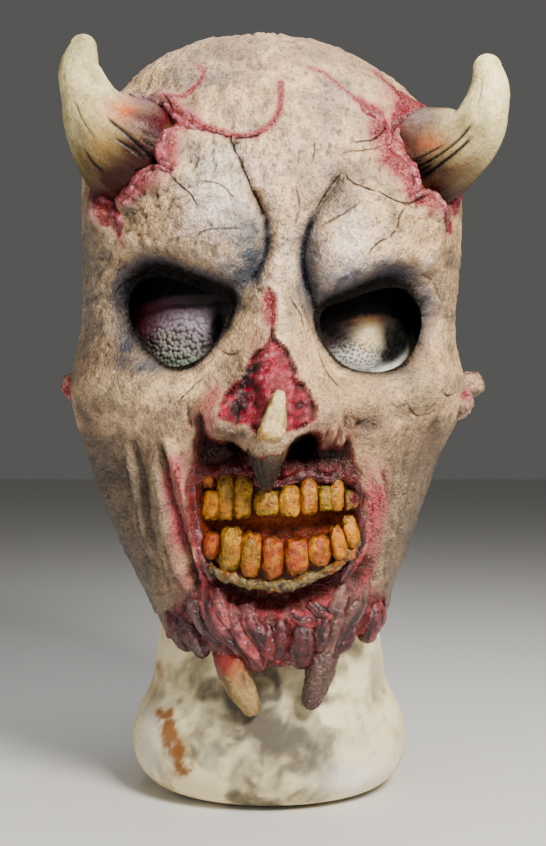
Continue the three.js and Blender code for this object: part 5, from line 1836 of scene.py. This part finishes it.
class JawFlesh:
    """The shredded flesh of the chin, as strips that lie half sunk in the skin."""

    girth = (0.75, 1.15, 1.2, 0.9)
    sunk = (1.0, 0.62, 0.5, 0.4)
    strips = each(Strip,
        (((-30.1, 107), (-27, 99), (-22, 91), (-14.4, 82.5)), 5),
        (((-18.8, 104.4), (-17, 94), (-11, 84), (-4.7, 75.5)), 4.4, "b5605f"),
        (((-10.9, 104.4), (-8.5, 96), (-4, 88), (0, 80)), 4.6, "a85a5e"),
        (((-1.2, 95), (-0.4, 89), (-1, 82), (-2.1, 76)), 4, "8f3438"),
        (((4.9, 98), (4.9, 92), (4.9, 86), (4.9, 80)), 4.2, "8d2f33"),
        (((15.4, 97), (15.4, 90), (15.4, 84), (15.4, 77)), 5.6, "7d3b3c"),
        (((27.6, 103), (26, 96), (24.8, 90), (24.1, 83)), 4.8, "8a4a48"),
        (((36.4, 113), (32.5, 103), (29.5, 93), (27.6, 82)), 5, "9a7268"),
        (((46, 113), (42, 104), (38, 96), (34.7, 88)), 4.8, "8d6c62"),
        (((51.3, 101), (50.5, 96), (49.6, 91), (48.7, 86)), 6, "b4666c"),
        (((-47.6, 98), (-45.5, 93), (-43, 88), (-40.6, 82)), 4.6, "7c3f42"),
        (((-43.3, 98), (-40, 92), (-36.5, 86), (-32.8, 80)), 4.8, "6f3c40"),
        (((-36, 112), (-35, 102), (-31, 93), (-24, 86)), 3.6, "8b6a6b"),
        (((-24, 112), (-23, 104), (-20, 96), (-16, 90)), 3.2, "b96a69"),
        (((18, 104), (22, 101), (27, 99), (31, 97)), 3.4, "a63a40"),
        (((10, 100), (14, 97), (19, 95.5), (24, 94)), 3, "b2474c"),
        (((55, 104), (54, 99), (53, 94), (52, 89)), 3.4, "9b4a52"),
        (((41, 96), (39, 90), (36, 85), (33, 82)), 3.6, "7f3f42"),
        (((-36, 180), (-37, 165), (-36.5, 152), (-34.5, 139)), 2.6, "8e4a52"),
        (((-36.5, 151), (-35, 140), (-32.5, 129), (-27, 118)), 2.9, "a06265"),
        (((41, 177), (43, 164), (44, 151), (43, 139)), 2.4, "8e4a4e"),
        (((44.5, 149), (43.5, 137), (40.5, 126), (35, 116)), 2.9, "9a5a5c"))

    def build(self) -> None:
        """Builds every strip."""
        for number, strip in enumerate(self.strips):
            self._strip(strip, number)

    def _strip(self, strip: Strip, number: int) -> None:
        """One strip: a bar with drawn-out fibres, whose tint varies along them."""
        flat = np.array(strip.path, float)
        y = SKULL.front_y(flat[:, 0], flat[:, 1]) + np.array(self.sunk) * strip.radius
        path = np.column_stack([flat[:, 0], y, flat[:, 1], strip.radius * np.array(self.girth)])
        bar = Bar(path, around=44, along=60, cap=7)
        points, _, turn, share = bar.surface()
        grooves = fractal(fibre_places(turn, share, strip.radius, 6, 11 * number), 2.6, 181, 4)
        out = 0.8 * grooves + 0.6 * fractal(points, 3.0, 191) + 0.9 * fractal(points, 7.0, 193)
        piece, vertices = bar_piece(f"flesh_strip_{number + 1:02d}", bar, out)
        ridges = with_poles(grooves, 0, 0)
        blotch = fractal(vertices, 5.0, 197)
        # Near-black between the ridges is painted shade, and the pale grey on the ridges is painted
        # highlight.
        tint = coats("1d0507", (linear(strip.colour) ** 1.5, smooth_step(ridges, -0.5, 0.4)),
                     ("6f5a54", 0.45 * smooth_step(blotch, 0.1, 0.5) * smooth_step(ridges, -0.1, 0.4)),
                     ("4a0c12", 0.75 * smooth_step(-blotch, 0.0, 0.5)))
        finish_piece(piece, Paint(tint, wet=0.9), FLESH)


@dataclass(frozen=True)
class Spur:
    """A tusk-like spur under the chin: its centre line with radii, and its colours from root to tip."""

    name: str
    path: Points
    root: str
    middle: str
    tip: str
    tip_share: float

    def build(self) -> bpy.types.Object:
        """Builds and paints the spur.

        Returns:
            The piece.
        """
        bar = Bar(self.path, around=56, along=84, cap=9)
        points, _, turn, share = bar.surface()
        grooves = fractal(fibre_places(turn, share, 5, 10), 2.0, 199)
        rough = smooth_step(share, self.tip_share, 1)
        out = 0.5 * (grooves + fractal(points, 4.0, 211) + rough * fractal(points, 1.3, 223))
        piece, vertices = bar_piece(self.name, bar, out)
        along = with_poles(share)
        wander = along + 0.16 * fractal(vertices, 4.0, 227)
        # The dark brown in the grooves' dips is painted shade.
        tint = coats(self.root, (self.middle, smooth_step(along, 0.15, 0.55)),
                     (self.tip, smooth_step(wander, self.tip_share - 0.3, self.tip_share + 0.06)),
                     ("3b2620", 0.55 * smooth_step(-with_poles(grooves, 0, 0), 0.0, 0.5)))
        wet = 0.8 * (1 - smooth_step(along, self.tip_share - 0.2, self.tip_share))
        return finish_piece(piece, Paint(tint, wet=wet), FLESH if self.tip_share > 1 else HORN)


LEFT_SPUR = Spur(
    "left_spur",
    ((-21, -63, 88, 7.5), (-18.3, -69, 77, 8.6), (-15, -71, 66, 7.4), (-11, -70, 57.5, 5.9),
        (-8.8, -69, 53, 4.7)), "4b2624", "8f4a46", "9c8562", 0.66)
RIGHT_SPUR = Spur(
    "right_spur", ((28, -63, 88, 7), (25.8, -69, 77, 7.7), (22.7, -71, 64, 6.3), (20.4, -70, 56.5, 4.9)),
    "4a2022", "553a32", "48312a", 1.1)


@dataclass(frozen=True)
class Lump:
    """A rounded lump: its middle, half sizes and lean in degrees about the view."""

    name: str
    at: tuple[float, float, float]
    size: tuple[float, float, float]
    squareness: float
    lean: float
    rough: float
    narrow: float = 0.0
    shift: float = 0.0
    grid: tuple[int, int] = (48, 72)

    def surface(self) -> tuple[Array, Array]:
        """A sphere whose coordinates are raised to the squareness, narrowed and shifted upwards.

        Returns:
            Its points with the two poles last, and the unit sphere's points.
        """
        unit = squared_ball(*self.grid)
        shaped = np.sign(unit) * np.abs(unit) ** self.squareness * np.array(self.size)
        rise = 0.5 + 0.5 * shaped[:, 2] / self.size[2]
        shaped[:, 0] = shaped[:, 0] * (1 - self.narrow * rise) + self.shift * rise
        places = shaped + np.array(self.at)
        out = self.rough * (fractal(places, 3.5, 229) + 0.5 * fractal(places, 1.5, 233))
        return leaned(shaped + unit * out[:, None], self.lean) + np.array(self.at), unit

    def build(self, paint: Callable[[Array, Array], Paint], finish: PaintedFinish) -> bpy.types.Object:
        """Builds the lump.

        Args:
            paint: gives its paint from its points and the unit sphere's.
            finish: its finish.

        Returns:
            The piece.
        """
        points, unit = self.surface()
        piece = make_piece(self.name, points, grid_faces(*self.grid))
        return finish_piece(piece, paint(points, unit), finish)


class NoseBone:
    """What the torn nose shows: a pale wedge of bone, the dark cone under it and the tip's rim."""

    wedge = Lump("nose_bone", (0.4, -115.5, 192.5), (7.4, 9.5, 11.5), 0.5, 0, 0.8, 0.62, 4.4)
    cone = ((1, -96, 189, 11), (-0.6, -108, 180, 9.2), (-1.2, -107, 169.5, 6.0), (-1.3, -99, 159.5, 2.5))

    def build(self) -> None:
        """Builds the wedge and the cone."""
        self.wedge.build(self._bone, HORN)
        self._septum()

    def _bone(self, points: Array, unit: Array) -> Paint:
        """Pale cream with browner patches, darker at its sides and underneath as painted shade."""
        tint = coats("dcc79a", ("a5855a", smooth_step(fractal(points, 4.0, 239), -0.1, 0.5)),
                     ("75543c", 0.6 * smooth_step(np.abs(unit[:, 0]), 0.55, 0.95)),
                     ("7a5a3c", 0.5 * smooth_step(-unit[:, 2], 0.5, 1)))
        return Paint(tint, wet=0.35)

    def _septum(self) -> None:
        """The cone under the nose: dark cream, darker further down, with painted shade in the dips between
        its brown runs, down to a reddish point over the teeth.
        """
        bar = Bar(self.cone, around=72, along=80, cap=8)
        points, _, turn, share = bar.surface()
        runs = fractal(fibre_places(turn, share, 6, 8), 2.2, 241)
        piece, _ = bar_piece("nose_septum", bar, 1.5 * runs + 0.9 * fractal(points, 5.0, 251))
        along = with_poles(share)
        tint = coats("4f3d27", ("1c1109", smooth_step(along, 0.35, 0.7)),
                     ("110a06", 0.85 * smooth_step(-with_poles(runs, 0, 0), -0.05, 0.35)),
                     ("5c2c20", 0.6 * smooth_step(along, 0.85, 1.0)))
        finish_piece(piece, Paint(tint, wet=0.3), LATEX)


class Nubs:
    """The small nubs at the cheekbones, where spikes have been torn off."""

    lumps = (
        Lump("left_nub", (-100.5, -20, 208.5), (7, 7, 7), 1.0, 0, 0.6),
        Lump("right_nub", (101.5, -25, 208.5), (8.4, 8.5, 7.0), 0.9, -20, 0.8),
        Lump("right_nub_root", (94, -33, 200.5), (9.4, 8.6, 9.2), 0.95, 0, 0.9),
    )
    clefts = each(Mound, (-103, 206, 4.5, 4.5, 1), (98, 203.5, 3.4, 3.4, 1), (-101, 212, 3, 3, 1))

    def build(self) -> None:
        """Builds the nubs."""
        for lump in self.lumps:
            lump.build(self._skin, LATEX)

    def _skin(self, points: Array, _: Array) -> Paint:
        """Putty with grey hollows, and crimson in the clefts."""
        tint = coats("b09078", ("6a5549", smooth_step(fractal(points, 5.0, 257), -0.1, 0.4)))
        red = np.max([cleft.relief(points[:, 0], points[:, 2]) for cleft in self.clefts], axis=0)
        return Paint(tint, wet=0.4 + 0.4 * red, blood=red)


class DisplayHead:
    """The foam display head: a rounded foot and neck under a plain oval head."""

    columns = 220
    crown_rows = 24
    wall_rows = 180

    foot = (
        (0, 50), (2.5, 58.5), (6, 64), (13, 69.5), (23, 71.8), (32, 71.3), (41, 68.5), (48, 65), (56, 61.5),
        (70, 59.5), (88, 57))
    side = KnotCurve(foot + (
        (110, 56.5), (130, 62), (150, 69), (175, 77), (205, 83), (240, 84), (270, 87), (300, 88)))
    form = SkullForm(
        rise=86.0, power=2.0, left=side, right=side,
        front=KnotCurve(foot + ((110, 57), (130, 62), (150, 66), (175, 69), (240, 70), (270, 79), (300, 87))),
        back=KnotCurve(foot + ((110, 60), (150, 76), (200, 94), (240, 98), (300, 96))))
    stain = Line(((-53, 47), (-50, 38), (-47, 30), (-43, 22), (-39, 17)), 6.5, 1, 6)
    # fffaf0, low on the right, is a painted highlight.
    shades = each(Spray,
        ("fffaf0", 46, 14, 18, 11, 0.95), ("d8ceb8", -28, 24, 5, 9, 0.45), ("f3ecdd", -60, 30, 8, 20, 0.6),
        ("c9c0a6", 55, 66, 12, 14, 0.5), ("9a7040", -56, 62, 3, 8, 0.5), ("a67c48", -60, 50, 3, 5, 0.4))

    def build(self) -> bpy.types.Object:
        """Builds and paints the head form, with its points packed towards the front and the foot.

        Returns:
            The piece.
        """
        even = even_turns(self.columns) - np.pi
        down = ((np.arange(self.wall_rows) + 1) / self.wall_rows) ** 0.7
        z = np.concatenate([self.form.dome_heights(self.crown_rows), lerp(self.form.dome_z, 0.0, down)])
        plain = self.form.point(*np.meshgrid(even - 0.45 * np.sin(even), z))
        soft = smooth_step(plain[..., 2], 2, 12)
        grid = plain + grid_normals(plain) * (soft * 0.45 * fractal(plain, 24.0, 263))[..., None]
        points = np.concatenate([grid.reshape(-1, 3), [self.form.crown(), [0, 0, 0]]])
        piece = make_piece("foam_head", points, grid_faces(len(z), self.columns))
        return finish_piece(piece, self._paint(points), FOAM, Role.HEAD)

    def _paint(self, points: Array) -> Paint:
        """Off-white, with grey soiling and painted shadow in front under the chin and spurs, a painted
        highlight and an orange-brown stain.
        """
        x, y, z = points.T
        drift = points + 11 * np.stack([fractal(points, 15.0, seed) for seed in (337, 347, 349)], axis=1)
        cloud = fractal(drift, 15.0, 269, 4)
        facing = smooth_step(-y, -20, 20)
        soil_and_shadow = 1.95 - np.hypot((x - 4) / 40, (z - 38) / 34) + 1.3 * cloud
        mark = self.stain.profile(points[:, [0, 2]], -3, 4) * facing * (1 + fractal(points, 4.0, 271))
        shades = (shade.layer(x, z, facing * (1 + 0.8 * cloud)) for shade in self.shades)
        return Paint(coats("f6e8bc", ("e2d1a2", smooth_step(cloud, -0.3, 0.5)),
                           ("48423e", 0.95 * smooth_step(soil_and_shadow, 0.1, 1.9) * facing), *shades,
                           ("83491d", 0.9 * smooth_step(mark, 0.2, 0.85))), wet=0)


@dataclass(frozen=True)
class Socket:
    """The beaded foam behind one eye hole: its middle in front view, its bulge and its painted areas."""

    name: str
    x: float
    z: float
    edge: Points
    bulge: float
    sprays: tuple[Spray, ...]
    beads: tuple[Mound, ...]
    dotted: bool
    rim: Line
    shades: tuple[Mound, ...]
    half: tuple[float, float] = (29.0, 25.0)
    cell: float = 0.36
    bead: float = 1.9

    def build(self) -> bpy.types.Object:
        """Builds the foam as a front sheet closed to one point behind it.

        Returns:
            The piece.
        """
        (across, up), form = self.half, DisplayHead.form
        x, z = np.meshgrid(np.linspace(self.x - across, self.x + across, int(2 * across / self.cell)),
                           np.linspace(self.z - up, self.z + up, int(2 * up / self.cell)))
        share = np.clip(np.abs(x) / form.left(z), 0, 0.95)
        plain = -form.front(z) * np.sqrt(1 - share ** 2)
        places = np.stack([x, z], axis=-1)
        below, _, _ = path_measure(smooth_path(self.edge), places)
        lower = smooth_step(-below, -0.5, 3.0)
        beaded = np.clip(sum(mound.relief(x, z) for mound in self.beads), 0, 1)
        near, _ = cell_distances(places + 0.3 * fractal(places, 4, 277)[..., None], self.bead, 281)
        raised = 1.6 * np.sqrt(np.clip(1 - (near / 0.62) ** 2, 0, 1)) - 0.8
        beads = -1.2 * bell(near / 0.25) if self.dotted else raised
        to_edge = 1 - np.maximum(np.abs(x - self.x) / across, np.abs(z - self.z) / up)
        lift = self.bulge * lower * bell((x - self.x) / 24) + 0.9 * fractal(places, 9, 283)
        y = plain - 0.6 - smooth_step(to_edge, 0, 0.15) * (2.6 + lift + beaded * beads)
        rows, columns = x.shape
        index = np.arange(rows * columns).reshape(rows, columns)
        corners = (index[:-1, :-1], index[:-1, 1:], index[1:, 1:], index[1:, :-1])
        quads = np.stack(corners, axis=-1).reshape(-1, 4)
        ring = np.concatenate([index[0, :-1], index[:-1, -1], index[-1, :0:-1], index[:0:-1, 0]])
        fan = np.stack([np.roll(ring, -1), ring, np.full(len(ring), rows * columns)], axis=-1)
        behind = [0.8 * self.x, -40.0, self.z]
        points = np.concatenate([np.stack([x, y, z], axis=-1).reshape(-1, 3), [behind]])
        tint = self._tint(places, near, beaded).reshape(-1, 3)
        # Black above the edge is painted shadow under the brow, and the shades are painted shade in the
        # hollows.
        shade = np.clip(sum(shade.relief(x, z) for shade in self.shades), 0, 1)
        soot_and_shade = np.maximum(smooth_step(below, 1.0, 7.0), shade)
        paint = Paint(np.concatenate([tint, tint[:1]]), wet=np.append(0.5 * beaded * lower, 0),
                      soot_and_shade=np.append(soot_and_shade, 1))
        return finish_piece(make_piece(self.name, points, [quads, fan]), paint, FOAM, Role.HEAD)

    def _tint(self, places: Array, near: Array, beaded: Array) -> Array:
        """Black above as painted shadow under the brow, then the painted areas and the pale rim, with dark
        gaps between the beads as painted shade.
        """
        blotch = fractal(places, 4.0, 293)
        x, z = places[..., 0], places[..., 1]
        gap = bell(near / 0.3) if self.dotted else 0.8 * smooth_step(near, 0.4, 0.75)
        return coats("030202", *(spray.layer(x, z, 1.25 * (1 + 0.35 * blotch)) for spray in self.sprays),
                     ("d9d6cd", self.rim.profile(places, 0, 5) * (1 + 0.5 * blotch)),
                     ("120e0e", 0.9 * np.clip(beaded * gap, 0, 1)))


# Painted shadow under the brow: 33272b and 4a2f1c. Painted shade in the hollows: 120810, 1c0206, 040404 and
# 0a0a0a.
LEFT_SOCKET = Socket(
    "left_socket_foam", -44, 237, ((-74, 239), (-66, 242), (-50, 246.5), (-30, 247), (-12, 249)), 4.5,
    each(Spray, ("33272b", -52, 252, 14, 7, 0.9), ("4d2a38", -54, 245, 12, 5, 0.8),
        ("7c2f45", -60, 238, 6, 7, 1.1), ("513038", -46, 242, 16, 3.5, 0.7), ("a892a0", -42, 235, 14, 6, 1),
        ("cdbfc8", -37, 238, 9, 4.5, 0.9), ("b8a89f", -48, 230, 7, 5, 0.7), ("96918a", -44, 225, 14, 6, 0.9),
        ("7a8274", -38, 219, 14, 4, 0.9), ("120810", -25, 234, 4, 12, 0.9)), (Mound(-41, 230, 19, 12, 1.3),),
    False, Line(((-66, 238), (-64, 230), (-59, 224)), 0.8, 0.5),
    each(Mound, (-24, 236, 4, 14, 0.8), (-66, 232, 2.5, 12, 0.5)))
RIGHT_SOCKET = Socket(
    "right_socket_foam", 50, 233, ((10, 221), (24, 226), (36, 233.5), (50, 238), (62, 237), (84, 230)), 3.5,
    each(Spray, ("4a2f1c", 47, 239, 11, 4, 0.9), ("b9b5ad", 44, 222, 12, 6, 0.9),
        ("cdba94", 48.5, 230, 6.5, 5.5, 1.1), ("1c0206", 30, 232.5, 8, 6, 1.5),
        ("040404", 63, 231, 6.5, 10, 1.6), ("0a0a0a", 59, 222, 5, 4, 1.1), ("98948c", 38, 217, 8, 2.5, 0.6)),
    (Mound(42, 223, 15, 7, 1.3),), True,
    Line(((48, 214), (56, 215.5), (64, 219), (69.5, 224), (72, 230), (71.5, 237)), 1.7, 0.95),
    each(Mound, (30, 233.5, 7, 5.5, 0.8), (63, 231, 5, 9, 0.75), (59, 222.5, 4, 3, 0.5),
        (40, 238, 9, 2.5, 0.5)))


class Studio:
    """A plain pale floor, soft studio light, and the camera at the photograph's viewing angle."""

    camera_at = (1.86, -750.0, 189.5)
    lens = 60.2
    sensor = 36.0

    def build(self) -> None:
        """Makes the floor, the lights and the camera."""
        self._floor()
        self._light("key", (330, -620, 640), 0.25, 15.5, (1.0, 0.96, 0.90))
        self._light("fill", (-560, -560, 200), 0.8, 2.3, (0.96, 0.98, 1.0))
        self._light("top", (0, 120, 900), 0.6, 4.0, (1.0, 1.0, 1.0))
        world = bpy.data.worlds.new("studio")
        bpy.context.scene.world = world
        world.use_nodes = True
        world.node_tree.nodes["Background"].inputs["Color"].default_value = (*linear("e2e1df"), 1)
        world.node_tree.nodes["Background"].inputs["Strength"].default_value = 0.13
        data = bpy.data.cameras.new("camera")
        data.lens, data.sensor_width, data.sensor_fit = self.lens, self.sensor, "AUTO"
        data.clip_start, data.clip_end = 0.05, 20
        camera = bpy.data.objects.new("camera", data)
        camera.location = [value * MM for value in self.camera_at]
        camera.rotation_euler = (np.pi / 2, 0, 0)
        bpy.context.scene.collection.objects.link(camera)
        bpy.context.scene.camera = camera

    def _floor(self) -> None:
        """A wide pale plane just under the foot."""
        half, level = 4000.0, -0.1
        corners = [(-half, -half, level), (half, -half, level), (half, half, level), (-half, half, level)]
        mesh = bpy.data.meshes.new("floor")
        mesh.from_pydata([tuple(value * MM for value in corner) for corner in corners], [], [(0, 1, 2, 3)])
        floor = bpy.data.objects.new("floor", mesh)
        bpy.context.scene.collection.objects.link(floor)
        made = bpy.data.materials.new("pale_floor")
        made.use_nodes = True
        shader = made.node_tree.nodes["Principled BSDF"]
        shader.inputs["Base Color"].default_value = (*linear("dcdad6"), 1)
        shader.inputs["Roughness"].default_value = 0.8
        mesh.materials.append(made)

    def _light(self, name: str, at: tuple[float, float, float], size: float, power: float,
               colour: tuple[float, float, float]) -> None:
        """Adds a square area light that looks at the middle of the mask.

        Args:
            name: its name.
            at: its place in millimetres.
            size: its side in metres.
            power: its power in watts.
            colour: its colour.
        """
        data = bpy.data.lights.new(name, "AREA")
        data.size, data.energy, data.color = size, power, colour
        light = bpy.data.objects.new(name, data)
        light.location = [value * MM for value in at]
        aim = np.array([0, 0, 200.0]) - np.array(at)
        yaw = np.arctan2(-aim[0], aim[1])
        pitch = np.arctan2(aim[2], np.hypot(aim[0], aim[1]))
        light.rotation_euler = (np.pi / 2 + pitch, 0, yaw)
        bpy.context.scene.collection.objects.link(light)


def main() -> None:
    """Builds every sub-assembly in order."""
    logging.basicConfig(level=logging.INFO, format="%(name)s %(message)s")
    Studio().build()
    face = Face(FrontMap())
    DisplayHead().build()
    for socket in (LEFT_SOCKET, RIGHT_SOCKET):
        socket.build()
    skin = Skin(face).build()
    horns = [horn.build() for horn in (LEFT_HORN, RIGHT_HORN)]
    Torn((skin, *horns)).build()
    NoseBone().build()
    for row in (UPPER_TEETH, LOWER_TEETH):
        row.build()
    JawFlesh().build()
    for spur in (LEFT_SPUR, RIGHT_SPUR):
        spur.build()
    Nubs().build()
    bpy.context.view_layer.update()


if __name__ == "__main__":
    main()
